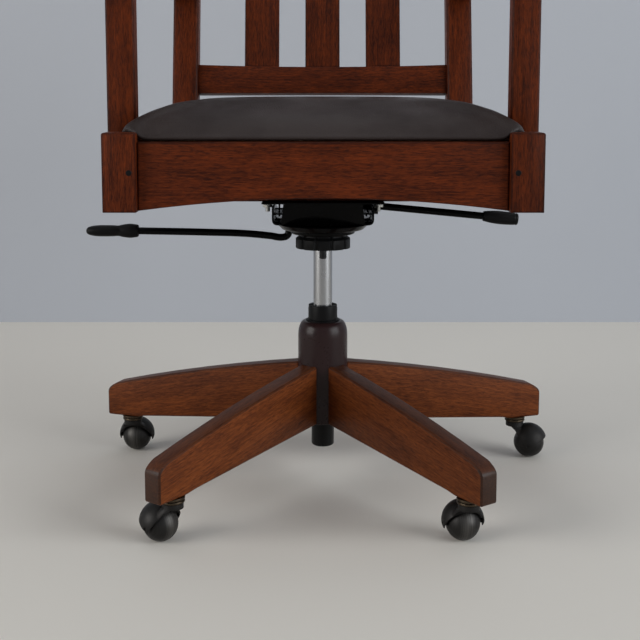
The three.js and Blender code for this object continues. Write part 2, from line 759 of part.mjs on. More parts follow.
// The fluted tension knob: a cup for the spring, with a shallow hollow in its underside
function knobGeometry() {
  const bore = boltRadius + runningGap;
  const hollow = knobRadius - knobRimWall;
  const boss = knobCupRadius / 3;
  const body = turned([
    [bore, knobBottom], [boss, knobBottom], [boss, knobBottom + knobDish], [hollow, knobBottom + knobDish],
    [hollow, knobBottom], [knobRadius - seatGap, knobBottom], [knobRadius, knobBottom + 2 * seatGap],
    [knobRadius, knobRimTop - 2 * seatGap], [knobRadius - 2 * seatGap, knobRimTop],
    [knobNeckRadius + seatGap, knobNeckBottom], [knobNeckRadius, knobTop - seatGap],
    [knobNeckRadius - seatGap, knobTop], [knobCupRadius, knobTop], [knobCupRadius, knobFloor],
    [bore, knobFloor], [bore, knobBottom],
  ], 18);
  const flutes = [];
  for (let i = 0; i < knobFluteCount; i++) {
    const flute = rod(knobFluteRadius, knobBottom - overrun, knobNeckBottom, 6);
    const angle = (2 * Math.PI * (i + knobFluteTurn)) / knobFluteCount;
    const reach = knobRadius + knobFluteRadius / 2;
    flutes.push(flute.translate(reach * Math.cos(angle), reach * Math.sin(angle), 0));
  }
  return cut(body, ...flutes).translate(0, tensionY, 0);
}

// The seat plate: a flat plate, a front flange that hides the pan's mouth, two lugs on the axle,
// and a strap whose slot lets the tension bolt lean as the seat tilts
function seatPlateGeometry() {
  const top = plateBottom + sheet;
  const plate = block([-plateHalfWidth, plateFront, plateBottom], [plateHalfWidth, plateBack, top]);
  const flange = new THREE.Shape();
  flange.moveTo(-flangeHalfWidth, top - sheet / 2);
  flange.lineTo(-flangeHalfWidth, flangeBottom + flangeCorner);
  flange.quadraticCurveTo(-flangeHalfWidth, flangeBottom, flangeCorner - flangeHalfWidth, flangeBottom);
  flange.lineTo(flangeHalfWidth - flangeCorner, flangeBottom);
  flange.quadraticCurveTo(flangeHalfWidth, flangeBottom, flangeHalfWidth, flangeBottom + flangeCorner);
  flange.lineTo(flangeHalfWidth, top - sheet / 2);
  const front = prism(flange, -plateFront - sheet, -plateFront, 4).applyMatrix4(upright);
  const lugOuter = panHalfWidth - sheet - lugInset;
  const lugs = [-1, 1].map((side) => {
    const [x0, x1] = side > 0 ? [lugOuter - sheet, lugOuter] : [-lugOuter, sheet - lugOuter];
    return block([x0, axleY - lugHalfWidth, lugBottom], [x1, axleY + lugHalfWidth, top - sheet / 2]);
  });
  const strapRoom = strapHalfWidth - sheet;
  const strap = cut(
    block([-strapHalfWidth, tensionY - strapHalfLength, strapBottom],
      [strapHalfWidth, tensionY + strapHalfLength, top - sheet / 2]),
    block([-strapRoom, tensionY - strapHalfLength - overrun, strapTop],
      [strapRoom, tensionY + strapHalfLength + overrun, plateBottom]));
  const arm = axleY - tensionY;
  const lean = (strapTop + boltHeadDome - axleZ) * Math.tan(tiltLimit) + arm * (1 / Math.cos(tiltLimit) - 1);
  const slotHalf = boltRadius + 2 * seatGap;
  const slot = block([-slotHalf, tensionY - lean - slotHalf, strapBottom - overrun],
    [slotHalf, tensionY + slotHalf, strapTop + overrun / 2]);
  const hole = rodAlongX(tiltAxleRadius + runningGap, -plateHalfWidth, plateHalfWidth, 12);
  return cut(join(plate, front, ...lugs, strap), slot, hole.translate(0, axleY, axleZ));
}

// Height of the lift lever's rod where it leaves the pan; it slopes down to its handle
const liftSlope = Math.tan(THREE.MathUtils.degToRad(5.47));
const liftRootX = 82;
const liftRootZ = 413.9;
const liftLeverRodZ = (x) => liftRootZ - liftSlope * (x - liftRootX);
const liftGripX = 236;

// A bent round bar along a smooth curve through chosen places
function bentBar(places, radius, steps) {
  const section = new THREE.Shape();
  section.absarc(0, 0, radius, 0, 2 * Math.PI);
  const path = new THREE.CatmullRomCurve3(places.map((place) => new THREE.Vector3(...place)), false, 'centripetal');
  return new THREE.ExtrudeGeometry(section, { steps, extrudePath: path, curveSegments: 4 });
}

function liftLeverGeometry() {
  const overValve = valveTop + 2 * seatGap + leverRadius;
  const z = liftLeverRodZ;
  return bentBar([
    [leverRadius / 2, liftLeverY + 2 * leverRadius, overValve],
    [socketRadius, liftLeverY + leverRadius, overValve + seatGap],
    [liftFulcrumX - socketRadius, liftLeverY, z(liftFulcrumX) - 2 * seatGap],
    [liftFulcrumX, liftLeverY, z(liftFulcrumX)],
    [liftRootX + leverRadius, liftLeverY, z(liftRootX + leverRadius)],
    [(liftRootX + liftGripX) / 2, liftLeverY, z((liftRootX + liftGripX) / 2)],
    [liftGripX + gripWrap, liftLeverY, z(liftGripX + gripWrap)],
  ], leverRadius, 18);
}

const lockGripX = -271.4;
const lockGripZ = 377.6;
const lockBendDrop = 34.8; // root's top to the lowest point of the bend
const lockRootTop = 403;
const lockBendRadius = 8.5;
// The bar from its bend to its handle, as a share of the way along and a share of the rise
const lockBarShares = [[0.126, 0.22], [0.225, 0.46], [0.325, 0.62], [0.525, 0.76], [0.725, 0.87]];

// The lock lever hooks up through the pan's floor, and its bar rises a little towards the handle
function lockLeverGeometry() {
  const low = lockRootTop - lockBendDrop;
  const r = leverRadius;
  const x = (share) => THREE.MathUtils.lerp(lockLeverX, lockGripX, share);
  const z = (share) => THREE.MathUtils.lerp(low, lockGripZ, share);
  const bend = lockBendRadius;
  const bar = lockBarShares.map(([xShare, zShare]) => [x(xShare), lockLeverY, z(zShare)]);
  return bentBar([
    [lockLeverX, lockLeverY, lockRootTop], [lockLeverX, lockLeverY, panBottom], [lockLeverX, lockLeverY, low + bend],
    [lockLeverX - 0.29 * bend, lockLeverY, low + 0.29 * bend], [lockLeverX - bend, lockLeverY, low],
    ...bar, [lockGripX - gripWrap, lockLeverY, lockGripZ],
  ], r, 40);
}

// A turned handle along +X, bored for its rod, from a table of shares
function handleProfile(shares, radius, length) {
  const bore = leverRadius + seatGap;
  const skin = shares.map(([radiusShare, lengthShare]) => [radius * radiusShare, length * lengthShare]);
  return [[0, gripWrap + seatGap], [bore, gripWrap + seatGap], [bore, 0], ...skin, [0, length]];
}

function capsuleGripGeometry() {
  return turned(handleProfile(capsuleShares, capsuleRadius, capsuleLength), 14).rotateY(Math.PI / 2);
}

// The lock lever's handle: a ferrule, a waist and a flat oval paddle
function paddleGripGeometry() {
  const ferrule = turned(handleProfile(ferruleShares, ferruleRadius, ferruleLength), 12).rotateY(Math.PI / 2);
  const neck = rodAlongX(paddleNeckRadius, ferruleLength - paddleLap, ferruleLength + paddleLap, 12);
  const paddle = turned([[0, 0], ...paddleShares, [0, 1]], 12).rotateY(Math.PI / 2);
  paddle.scale(paddleLength, paddleHalfDepth, paddleHalfHeight);
  return join(ferrule, neck, paddle.translate(ferruleLength - paddleLap, 0, 0));
}

function addMechanism() {
  part('control_pan', panGeometry(), blackPaint, chair);
  part('socket_bush', faceted(socketGeometry()), blackPaint, chair);
  part('tilt_axle', faceted(tiltAxleGeometry()), darkSteel, chair);
  part('tension_spring', faceted(springGeometry()), darkSteel, chair);
  part('tension_bolt', faceted(boltGeometry()), darkSteel, chair);
  part('tension_knob', knobGeometry(), blackPlastic, chair);
  part('seat_plate', seatPlateGeometry(), blackPaint, chair);
  part('lift_lever', faceted(liftLeverGeometry()), blackPaint, chair);
  part('lock_lever', faceted(lockLeverGeometry()), blackPaint, chair);
  const liftGrip = part('lift_lever_grip', faceted(capsuleGripGeometry()), blackPlastic, chair);
  liftGrip.position.set(liftGripX, liftLeverY, liftLeverRodZ(liftGripX));
  liftGrip.rotation.y = Math.atan(liftSlope);
  const lockGrip = part('lock_lever_grip', paddleGripGeometry(), blackPlastic, chair);
  lockGrip.position.set(lockGripX, lockLeverY, lockGripZ);
  lockGrip.rotation.z = Math.PI;
}

// The side rails run from behind the front blocks to the back posts, drawing in towards the back
const sideFront = blockFront + blockSize;
const sideFrontX = blockOuterX - blockSize / 2;
const sideBackX = postInnerX + postWidth / 2;
const sideRailX = (y) => sideFrontX + ((sideBackX - sideFrontX) * (y - sideFront)) / (postFront - sideFront);
const railHeight = railTop - railBottom;

function sideRailGeometry(grow) {
  const y0 = sideFront + seatGap - grow;
  const y1 = postFront - seatGap + grow;
  const half = railThickness / 2 + grow;
  const outline = outlineOf([
    [sideRailX(y0) - half, y0], [sideRailX(y0) + half, y0], [sideRailX(y1) + half, y1], [sideRailX(y1) - half, y1],
  ]);
  const easing = grow > 0 ? 0 : railEasing;
  return board(outline, railHeight + 2 * grow, easing).translate(0, 0, (railTop + railBottom) / 2);
}

function frontRailGeometry() {
  const end = blockOuterX - blockSize - seatGap;
  const outline = new THREE.Shape();
  outline.moveTo(-end, railTop);
  outline.lineTo(-end, railBottom);
  outline.quadraticCurveTo(0, railBottom + 2 * frontRailArch, end, railBottom);
  outline.lineTo(end, railTop);
  const middle = blockFront + frontRailSetback + railThickness / 2;
  return board(outline, railThickness, railEasing, 16).applyMatrix4(upright).translate(0, middle, 0);
}

// A rail across the frame between the side rails' inner faces, its ends cut to their angle
function crossRailGeometry(y0, y1, z0, z1) {
  const end = (y) => sideRailX(y) - railThickness / 2 - 2 * seatGap;
  const outline = outlineOf([[-end(y0), y0], [end(y0), y0], [end(y1), y1], [-end(y1), y1]]);
  return board(outline, z1 - z0, railEasing).translate(0, 0, (z0 + z1) / 2);
}

function blockGeometry() {
  return easedBlock(
    [blockOuterX - blockSize, blockFront, blockBottom], [blockOuterX, blockFront + blockSize, blockTop], blockEasing);
}

// A half width of the pad's plan at a depth, before the corners are rounded
function padHalfWidth(y) {
  const run = cushionBack - cushionFront;
  return cushionHalfWidth + ((cushionBackHalfWidth - cushionHalfWidth) * (y - cushionFront)) / run;
}

// The plan of the pad, drawn in by an inset, with rounded corners
function padPlan(inset) {
  const y0 = cushionFront + inset;
  const y1 = cushionBack - inset;
  const wide = padHalfWidth(y0) - inset;
  const narrow = padHalfWidth(y1) - inset;
  const r = cushionCorner;
  const plan = new THREE.Shape();
  plan.moveTo(-wide + r, y0);
  plan.lineTo(wide - r, y0);
  plan.quadraticCurveTo(wide, y0, wide, y0 + r);
  plan.lineTo(narrow, y1 - r);
  plan.quadraticCurveTo(narrow, y1, narrow - r, y1);
  plan.lineTo(-narrow + r, y1);
  plan.quadraticCurveTo(-narrow, y1, -narrow, y1 - r);
  plan.lineTo(-wide, y0 + r);
  plan.quadraticCurveTo(-wide, y0, -wide + r, y0);
  return plan;
}

// Notches round the front blocks and the arm posts, with a clearance
function padNotches(clearance) {
  const z0 = railBottom;
  const z1 = cushionCrown + overrun;
  const wide = blockOuterX + overrun;
  const blockInner = blockOuterX - blockSize - clearance;
  const postInner = armPostOuterX - armPostWidth - clearance;
  const armBackY = armPostFront + armPostDepth + clearance;
  return [-1, 1].flatMap((side) => {
    const between = (a, b) => (side > 0 ? [a, b] : [-b, -a]);
    const [bx0, bx1] = between(blockInner, wide);
    const [px0, px1] = between(postInner, wide);
    return [
      block([bx0, blockFront - overrun, z0], [bx1, blockFront + blockSize + clearance, z1]),
      block([px0, armPostFront - clearance, z0], [px1, armBackY, z1]),
    ];
  });
}

function deckGeometry() {
  const low = railTop + seatGap;
  const plan = prism(padPlan(deckInset), low, low + deckThickness, 4);
  return cut(plan, ...padNotches(cushionGap + deckInset));
}

// The pad is lofted through scaled rings of its plan: drawn in below, full at the side, crowned on top
function padGeometry() {
  const plan = padPlan(0).getPoints(5);
  plan.pop();
  const centreY = (cushionFront + cushionBack) / 2;
  const low = railTop + seatGap;
  const height = cushionCrown - low;
  const positions = [];
  for (const [planShare, heightShare] of cushionShares)
    for (const point of plan)
      positions.push(planShare * point.x, centreY + planShare * (point.y - centreY), low + heightShare * height);
  positions.push(0, centreY, cushionCrown, 0, centreY, low);
  const count = plan.length;
  const rings = cushionShares.length;
  const top = rings * count;
  const faces = [];
  for (let i = 0; i < count; i++) {
    const next = (i + 1) % count;
    for (let ring = 0; ring + 1 < rings; ring++) {
      const here = ring * count;
      const above = here + count;
      faces.push(here + i, here + next, above + next, here + i, above + next, above + i);
    }
    faces.push(top - count + i, top - count + next, top, next, i, top + 1);
  }
  const pad = new THREE.BufferGeometry();
  pad.setAttribute('position', new THREE.Float32BufferAttribute(positions, 3));
  pad.setIndex(faces);
  return pad;
}

function cushionGeometry() {
  const low = railTop + seatGap;
  const pocket = prism(padPlan(deckInset - seatGap), low - overrun, low + deckThickness + seatGap, 4);
  const deckRoom = cut(pocket, ...padNotches(cushionGap + deckInset - seatGap));
  return cut(padGeometry(), deckRoom, ...padNotches(cushionGap));
}

function armPostGeometry() {
  const post = easedBlock(
    [armPostOuterX - armPostWidth, armPostFront, armPostFoot],
    [armPostOuterX, armPostFront + armPostDepth, armUnderside - seatGap], postEasing);
  return cut(post, sideRailGeometry(seatGap));
}

function addSeat() {
  const boardTop = plateBottom + sheet + seatGap + boardThickness;
  const crossLow = boardTop + seatGap;
  const crossHigh = crossLow + crossRailHeight;
  const frontCross = boardFront + crossRailInset;
  const backCross = boardBack - crossRailInset;
  const mounting = easedBlock(
    [-boardHalfWidth, boardFront, boardTop - boardThickness], [boardHalfWidth, boardBack, boardTop], railEasing);
  part('mounting_board', mounting, oak, chair);
  part('front_cross_rail', crossRailGeometry(frontCross, frontCross + crossRailWidth, crossLow, crossHigh), oak, chair);
  part('back_cross_rail', crossRailGeometry(backCross - crossRailWidth, backCross, crossLow, crossHigh), oak, chair);
  part('front_rail', frontRailGeometry(), oak, chair);
  const backRailEnd = postInnerX - seatGap;
  const backRailFront = postFront + backSetIn;
  part('back_rail', easedBlock(
    [-backRailEnd, backRailFront, backRailBottom], [backRailEnd, backRailFront + railThickness, railTop],
    railEasing), oak, chair);
  part('seat_deck', deckGeometry(), plywood, chair);
  part('seat_cushion', cushionGeometry(), leather, chair);
  const rights = {
    front_block: blockGeometry(), side_rail: sideRailGeometry(0), arm_post: armPostGeometry(),
    arm: armGeometry(), back_post: backPostGeometry(0),
  };
  for (const [name, geometry] of Object.entries(rights)) {
    part(`right_${name}`, faceted(geometry), oak, chair);
    part(`left_${name}`, mirrored(geometry), oak, chair);
  }
}

// A back post in side view: upright at the seat, leaning above it, grown all round by a clearance for cutting
function backPostGeometry(grow) {
  const along = (length, depth) => [
    postFront + length * Math.sin(rake) + depth * Math.cos(rake),
    postBend + length * Math.cos(rake) - depth * Math.sin(rake)];
  const bend = postDepth / 2;
  const outline = new THREE.Shape();
  outline.moveTo(postFront - grow, railBottom - grow);
  outline.lineTo(postFront - grow, postBend - bend);
  outline.quadraticCurveTo(postFront - grow, postBend, ...along(bend, -grow));
  outline.lineTo(...along(postLean, -grow));
  outline.lineTo(...along(postLean, postTopDepth + grow));
  outline.lineTo(...along(bend, postDepth + grow));
  outline.quadraticCurveTo(postFront + postDepth + grow, postBend, postFront + postDepth + grow, postBend - 2 * bend);
  outline.lineTo(postFront + postDepth + grow, railBottom - grow);
  const easing = grow > 0 ? 0 : postEasing;
  const post = board(outline, postWidth + 2 * grow, easing, 5).applyMatrix4(inProfile);
  return post.translate(postInnerX + postWidth / 2, 0, 0);
}

// An arm in plan: broad and rounded in front, drawn in to lap the back post
function armGeometry() {
  const frontOuter = armInnerX + armWidth;
  const outline = new THREE.Shape();
  outline.moveTo(armInnerX + armCorner, armFront);
  outline.lineTo(frontOuter - armCorner, armFront);
  outline.quadraticCurveTo(frontOuter, armFront, frontOuter, armFront + armCorner);
  outline.bezierCurveTo(
    frontOuter + armBulge, 0, armBackOuterX + armBulge, armBack / 2, armBackOuterX, armBack);
  outline.lineTo(postInnerX, armBack);
  outline.lineTo(postInnerX, postFront);
  outline.bezierCurveTo(postInnerX, armBack / 2, armInnerX - armBulge / 2, 0, armInnerX, armFront + armCorner);
  outline.quadraticCurveTo(armInnerX, armFront, armInnerX + armCorner, armFront);
  const blank = board(outline, armThickness, postEasing, 8).translate(0, 0, armUnderside + armThickness / 2);
  return cut(blank, backPostGeometry(seatGap));
}

// The back's rails are cut from a bowed band, so that they curve round the sitter
const bowRadius = (postInnerX ** 2 + backBow ** 2) / (2 * backBow);
const bowAt = (x) => backBow - x ** 2 / (2 * bowRadius);

function bowedBand(z0, z1) {
  const end = postInnerX - seatGap;
  const outline = new THREE.Shape();
  const far = backSetIn + backThickness;
  outline.moveTo(-end, backSetIn);
  outline.quadraticCurveTo(0, backSetIn + 2 * backBow, end, backSetIn);
  outline.lineTo(end, far);
  outline.quadraticCurveTo(0, far + 2 * backBow, -end, far);
  return prism(outline, z0, z1, 12);
}

// A rail of the back: the bowed band cut to a front view with arched edges
function backRailGeometry(foot, height, archBelow, archAbove) {
  const end = postInnerX;
  const face = new THREE.Shape();
  face.moveTo(-end, foot);
  face.quadraticCurveTo(0, foot + 2 * archBelow, end, foot);
  face.lineTo(end, foot + height);
  face.quadraticCurveTo(0, foot + height + 2 * archAbove, -end, foot + height);
  const depth = backSetIn + backThickness + backBow + overrun;
  const sheetOfView = prism(face, -depth, depth, 12).applyMatrix4(upright);
  return common(bowedBand(foot - overrun, foot + height + archAbove + overrun), sheetOfView);
}

function addBack() {
  const back = new THREE.Group();
  back.position.set(0, postFront, postBend);
  back.rotation.x = -rake;
  chair.add(back);
  part('lower_back_rail', backRailGeometry(lowerRailFoot, lowerRailHeight, lowerRailArch, 0), oak, back);
  part('crest_rail', backRailGeometry(crestFoot, crestHeight, 0, crestArch), oak, back);
  const slatLow = lowerRailFoot + lowerRailHeight + seatGap;
  const slatHigh = crestFoot - seatGap;
  for (let i = 0; i < slatCount; i++) {
    const x = (i - (slatCount - 1) / 2) * slatSpacing;
    const slat = easedBlock(
      [-slatWidth / 2, -slatThickness / 2, slatLow], [slatWidth / 2, slatThickness / 2, slatHigh], slatEasing);
    const mesh = part(`back_slat_${i + 1}`, faceted(slat), oak, back);
    mesh.position.set(x, backSetIn + backThickness / 2 + bowAt(x), 0);
    mesh.rotation.z = -x / bowRadius;
  }
}

addBase();
addGasLift();
addMechanism();
addSeat();
addBack();

// The origin lies under the middle of the footprint, from the front legs' corners to the end of the back leg
const frontLegAngle = legAngle(2);
const frontReach = -legReach * Math.sin(frontLegAngle) + (legThickness / 2) * Math.cos(frontLegAngle);
const backReach = legReach * Math.cos(baseTurn) + (legThickness / 2) * Math.sin(baseTurn);
chair.position.y = (frontReach - backReach) / 2;

export default chair;
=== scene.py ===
"""A bankers swivel chair: stained oak, a leather seat, a tilt mechanism and hooded ball casters.

The packed model is loaded as a fixed frame. Each operator makes one group of pieces over it.
"""

import json
import math

import bmesh
import bpy
from bpy.props import FloatProperty, FloatVectorProperty, IntProperty, PointerProperty
from bpy.types import Operator, Panel, PropertyGroup
from mathutils import Matrix, Vector

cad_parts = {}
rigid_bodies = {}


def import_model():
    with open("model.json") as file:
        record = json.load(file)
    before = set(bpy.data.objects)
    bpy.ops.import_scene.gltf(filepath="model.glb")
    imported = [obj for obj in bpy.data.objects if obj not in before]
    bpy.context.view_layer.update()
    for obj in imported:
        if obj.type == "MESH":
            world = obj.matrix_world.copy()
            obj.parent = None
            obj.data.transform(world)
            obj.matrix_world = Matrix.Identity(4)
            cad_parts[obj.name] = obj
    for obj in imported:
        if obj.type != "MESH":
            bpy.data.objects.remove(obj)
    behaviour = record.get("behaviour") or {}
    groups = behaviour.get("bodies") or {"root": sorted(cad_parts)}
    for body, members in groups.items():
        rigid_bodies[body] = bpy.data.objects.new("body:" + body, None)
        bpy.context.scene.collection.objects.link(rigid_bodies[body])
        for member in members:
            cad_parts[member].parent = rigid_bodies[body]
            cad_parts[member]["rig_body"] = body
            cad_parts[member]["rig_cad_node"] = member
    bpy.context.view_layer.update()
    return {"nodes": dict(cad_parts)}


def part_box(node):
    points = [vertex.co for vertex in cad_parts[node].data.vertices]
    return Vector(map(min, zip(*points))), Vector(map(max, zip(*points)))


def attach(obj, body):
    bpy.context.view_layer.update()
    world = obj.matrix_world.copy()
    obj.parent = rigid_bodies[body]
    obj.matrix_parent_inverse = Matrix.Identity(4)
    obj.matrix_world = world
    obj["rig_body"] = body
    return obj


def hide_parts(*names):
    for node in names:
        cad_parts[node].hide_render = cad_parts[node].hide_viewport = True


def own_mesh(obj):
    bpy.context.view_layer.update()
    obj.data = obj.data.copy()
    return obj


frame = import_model()

bl_info = {
    "name": "Bankers swivel chair",
    "version": (1, 0, 0),
    "blender": (4, 5, 0),
    "location": "View3D > Sidebar > Chair",
    "description": "Builds an oak swivel chair piece by piece over its packed model",
    "category": "Add Mesh",
}

COLUMN = Vector((0, (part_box("hub")[0].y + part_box("hub")[1].y) / 2, 0))
UPRIGHT = Vector((0, 0, 1))
# The casters and legs in order round the hub, with how light each leg's oak is.
CASTERS = {"back": 1, "right_back": 1.06, "right_front": 0.76, "left_front": 1.05, "left_back": 1}
SIDES = {"left": -1, "right": 1}
# Where each group of boards starts in the numbers that place its grain.
FIRST_SEED = {"legs": 1, "rails": 11, "blocks": 21, "upper": 31}
GAP = 0.0003  # between pieces that sit in each other
WELD = 1e-6  # points nearer than this are one


def length(name, description, default):
    """A size in metres."""
    return FloatProperty(name=name, description=description, default=default, min=0, unit="LENGTH",
                         precision=5)


def colour(name, description, default):
    """A linear colour."""
    return FloatVectorProperty(name=name, description=description, default=default, subtype="COLOR", min=0,
                               max=1)


class BaseSizes(PropertyGroup):
    """Sizes of the star base, its hub and its casters."""

    leg_round: length("Leg edge round", "Rounding on a leg's edges", 0.0009)
    hub_radius: length("Hub radius", "Outside of the painted hub", 0.037)
    hub_shoulder: length("Hub shoulder", "Height where the rounded shoulder starts", 0.219)
    hub_top: length("Hub top", "Height of the hub's mouth", 0.241)
    hub_mouth: length("Hub mouth radius", "Radius at the top of the shoulder", 0.0275)
    tube_radius: length("Tube radius", "Outside of the column tube", 0.025)
    tube_end_radius: length("Tube end radius", "Outside of the narrow end under the hub", 0.017)
    collar_radius: length("Collar radius", "Outside of the notched guide collar", 0.02175)
    cylinder_radius: length("Cylinder radius", "Outside of the gas cylinder", 0.014)
    wheel_radius: length("Wheel radius", "Radius of a ball wheel", 0.0238)
    hood_radius: length("Hood radius", "Outside of the ball of a caster's hood", 0.028)
    hood_rise: length("Hood rise", "Wheel's middle up to the middle of the hood's ball", 0.0022)
    hood_wall: length("Hood wall", "Thickness of the hood's shell", 0.0014)
    cheek_drop: length("Cheek drop", "How far the hood's cheeks reach below the axle", 0.0058)
    hood_arch: length("Hood arch", "Height of the opening under the neck", 0.045)
    trail: length("Trail", "From a caster's stem to its wheel's middle", 0.023)
    race_balls: IntProperty(name="Race balls", description="Balls in a caster's race", default=18, min=4)


class MechanismSizes(PropertyGroup):
    """Sizes of the tilt mechanism and its levers."""

    sheet: length("Sheet", "Thickness of the pressed steel", 0.0025)
    dish_radius: length("Dish radius", "Outside of the stepped dish", 0.0595)
    knob_radius: length("Knob radius", "Outside of the tension knob", 0.0385)
    knob_neck: length("Knob neck radius", "Outside of the knob's upper part", 0.034)
    knob_flutes: IntProperty(name="Knob flutes", description="Grooves round the knob", default=11, min=3)
    bolt_radius: length("Bolt radius", "Tension bolt", 0.0052)
    thread_pitch: length("Thread pitch", "Pitch of the tension bolt's thread", 0.00125)
    lever_radius: length("Lever radius", "Round bar of the levers", 0.0053)
    spring_wire: length("Spring wire", "Wire of the tension spring", 0.0048)
    stud_radius: length("Stud radius", "Studs that hold the seat plate", 0.0032)
    nut_radius: length("Nut radius", "Across the corners of a stud's nut", 0.0076)


class SeatSizes(PropertyGroup):
    """Sizes of the oak frame, its plugs and the leather pad."""

    board_round: length("Board edge round", "Rounding on the boards' edges", 0.0009)
    block_round: length("Block edge round", "Rounding on the front blocks' edges", 0.0008)
    block_trim: length("Block trim", "Planed off the outer face of the front blocks", 0.0015)
    block_top_round: length("Block top round", "Rounding on the front blocks' top edges", 0.003)
    plug_radius: length("Plug radius", "Dark plugs in the front blocks", 0.0037)
    pad_half_front: length("Pad half width, front", "Half of the pad's width in front", 0.2675)
    pad_half_back: length("Pad half width, back", "Half of the pad's width at the back", 0.238)
    pad_corner: length("Pad corner", "Corner radius of the pad", 0.024)
    pad_crown: length("Pad crown", "Highest point of the pad", 0.573)
    pad_clearance: length("Pad clearance", "Room round the posts and blocks", 0.0022)
    pad_swell: length("Pad swell", "The most that the simulation may move a point", 0.004)


class Finishes(PropertyGroup):
    """Colours of the chair's materials."""

    oak_light: colour("Seat oak, light", "Light streaks of the upper oak", (0.15, 0.0272, 0.0058))
    oak_dark: colour("Seat oak, dark", "Dark streaks of the upper oak", (0.021, 0.0036, 0.0014))
    oak_pores: colour("Oak pores", "Open pores filled with stain", (0.014, 0.0034, 0.002))
    leg_light: colour("Leg oak, light", "Light streaks of the legs", (0.21, 0.0555, 0.0133))
    leg_dark: colour("Leg oak, dark", "Dark streaks of the legs", (0.06, 0.0138, 0.0044))
    leather: colour("Leather", "Main tone of the hide", (0.0178, 0.0114, 0.0108))
    leather_worn: colour("Worn leather", "Rubbed places of the hide", (0.037, 0.0275, 0.026))
    hub_paint: colour("Hub paint", "Dark brown paint", (0.02, 0.0088, 0.0092))
    black_paint: colour("Black paint", "Pressed steel and levers", (0.0018, 0.0018, 0.002))
    black_plastic: colour("Black plastic", "Knob, collar and handles", (0.0052, 0.0052, 0.0056))
    gunmetal: colour("Gunmetal", "Caster hoods and wheels", (0.0225, 0.0217, 0.0215))
    brass: colour("Aged brass", "Caster stems and races", (0.075, 0.056, 0.038))
    chrome: colour("Satin chrome", "Gas cylinder", (0.37, 0.376, 0.39))
    zinc: colour("Zinc", "Studs, washers and nuts", (0.5, 0.5, 0.48))


class StageSettings(PropertyGroup):
    """The floor, the backdrop, the lights and the camera."""

    eye_height: length("Eye height", "Camera above the floor", 0.576)
    eye_distance: length("Eye distance", "Camera in front of the column", 1.61)
    eye_side: FloatProperty(name="Eye to the side", description="Camera off the middle", default=-0.0042,
                            unit="LENGTH")
    pitch: FloatProperty(name="Pitch", description="How far the camera looks down", default=0.113,
                         subtype="ANGLE")
    lens: FloatProperty(name="Lens", description="Focal length", default=61.37, unit="CAMERA")
    frame_rise: FloatProperty(name="Frame rise", description="Vertical shift of the frame", default=-0.1578)
    wall_distance: length("Wall distance", "Backdrop behind the column", 1.13)
    floor_colour: colour("Floor", "Colour of the floor", (0.8, 0.77, 0.715))
    wall_colour: colour("Wall", "Colour of the backdrop", (0.465, 0.488, 0.535))


SETTINGS = {
    "chair_base": BaseSizes,
    "chair_mechanism": MechanismSizes,
    "chair_seat": SeatSizes,
    "chair_finishes": Finishes,
    "chair_stage": StageSettings,
}


# Selecting and editing


def clear_selection():
    """Object mode with nothing selected."""
    if bpy.context.object and bpy.context.object.mode != "OBJECT":
        bpy.ops.object.mode_set(mode="OBJECT")
    bpy.ops.object.select_all(action="DESELECT")


def take(piece):
    """Select one piece and make it active."""
    clear_selection()
    piece.select_set(True)
    bpy.context.view_layer.objects.active = piece
    return piece


def edit(piece, kind="VERT"):
    """Open a piece for editing with nothing selected."""
    take(piece)
    bpy.ops.object.mode_set(mode="EDIT")
    bpy.ops.mesh.select_mode(type=kind)
    bpy.ops.mesh.select_all(action="DESELECT")
    return bmesh.from_edit_mesh(piece.data)


def choose(piece, kind, test):
    """In edit mode, select the vertices, edges or faces that pass a test, and nothing else."""
    bpy.ops.mesh.select_mode(type={"verts": "VERT", "edges": "EDGE", "faces": "FACE"}[kind])
    bpy.ops.mesh.select_all(action="DESELECT")
    mesh = bmesh.from_edit_mesh(piece.data)
    for element in getattr(mesh, kind):
        if test(element):
            element.select_set(True)
    mesh.select_flush_mode()
    bmesh.update_edit_mesh(piece.data)


def close_edit():
    """Leave edit mode."""
    bpy.ops.object.mode_set(mode="OBJECT")


def settle(piece):
    """Put a piece's place into its mesh."""
    take(piece)
    bpy.ops.object.transform_apply(location=True, rotation=True, scale=True)
    return piece


def placed(piece, matrix):
    """Set a piece in place, in its mesh."""
    piece.matrix_world = matrix
    return settle(piece)


def primitive(add, name, **values):
    """Add a primitive at its size and place by one of Blender's operators, and name it."""
    clear_selection()
    add(**values)
    piece = bpy.context.object
    piece.name = piece.data.name = name
    return settle(piece)


def smooth(piece, angle):
    """Smooth shading, kept sharp at edges steeper than an angle in degrees."""
    take(piece)
    bpy.ops.object.shade_smooth_by_angle(angle=math.radians(angle))
    return piece


def apply_modifier(piece, kind, **values):
    """Add a modifier with its values and apply it."""
    take(piece)
    bpy.ops.object.modifier_add(type=kind)
    modifier = piece.modifiers[-1]
    for key, value in values.items():
        setattr(modifier, key, value)
    bpy.ops.object.modifier_apply(modifier=modifier.name)
    return piece


def carve(piece, *cutters, operation="DIFFERENCE"):
    """Cut a piece by others, or join others to it, and remove them."""
    for cutter in cutters:
        apply_modifier(piece, "BOOLEAN", operation=operation, solver="EXACT", object=cutter)
        bpy.data.objects.remove(cutter)
    return piece


def joined(piece, *others):
    """Several pieces as one object."""
    take(piece)
    for other in others:
        other.select_set(True)
    bpy.ops.object.join()
    return piece


def point_up(name):
    """A new piece that is a single vertex at the origin, open for editing."""
    clear_selection()
    bpy.ops.mesh.primitive_plane_add(size=0.01, location=(0, 0, 0))
    piece = bpy.context.object
    piece.name = piece.data.name = name
    bpy.ops.object.mode_set(mode="EDIT")
    bpy.ops.mesh.select_mode(type="VERT")
    bpy.ops.mesh.select_all(action="SELECT")
    bpy.ops.mesh.merge(type="CENTER")
    return piece


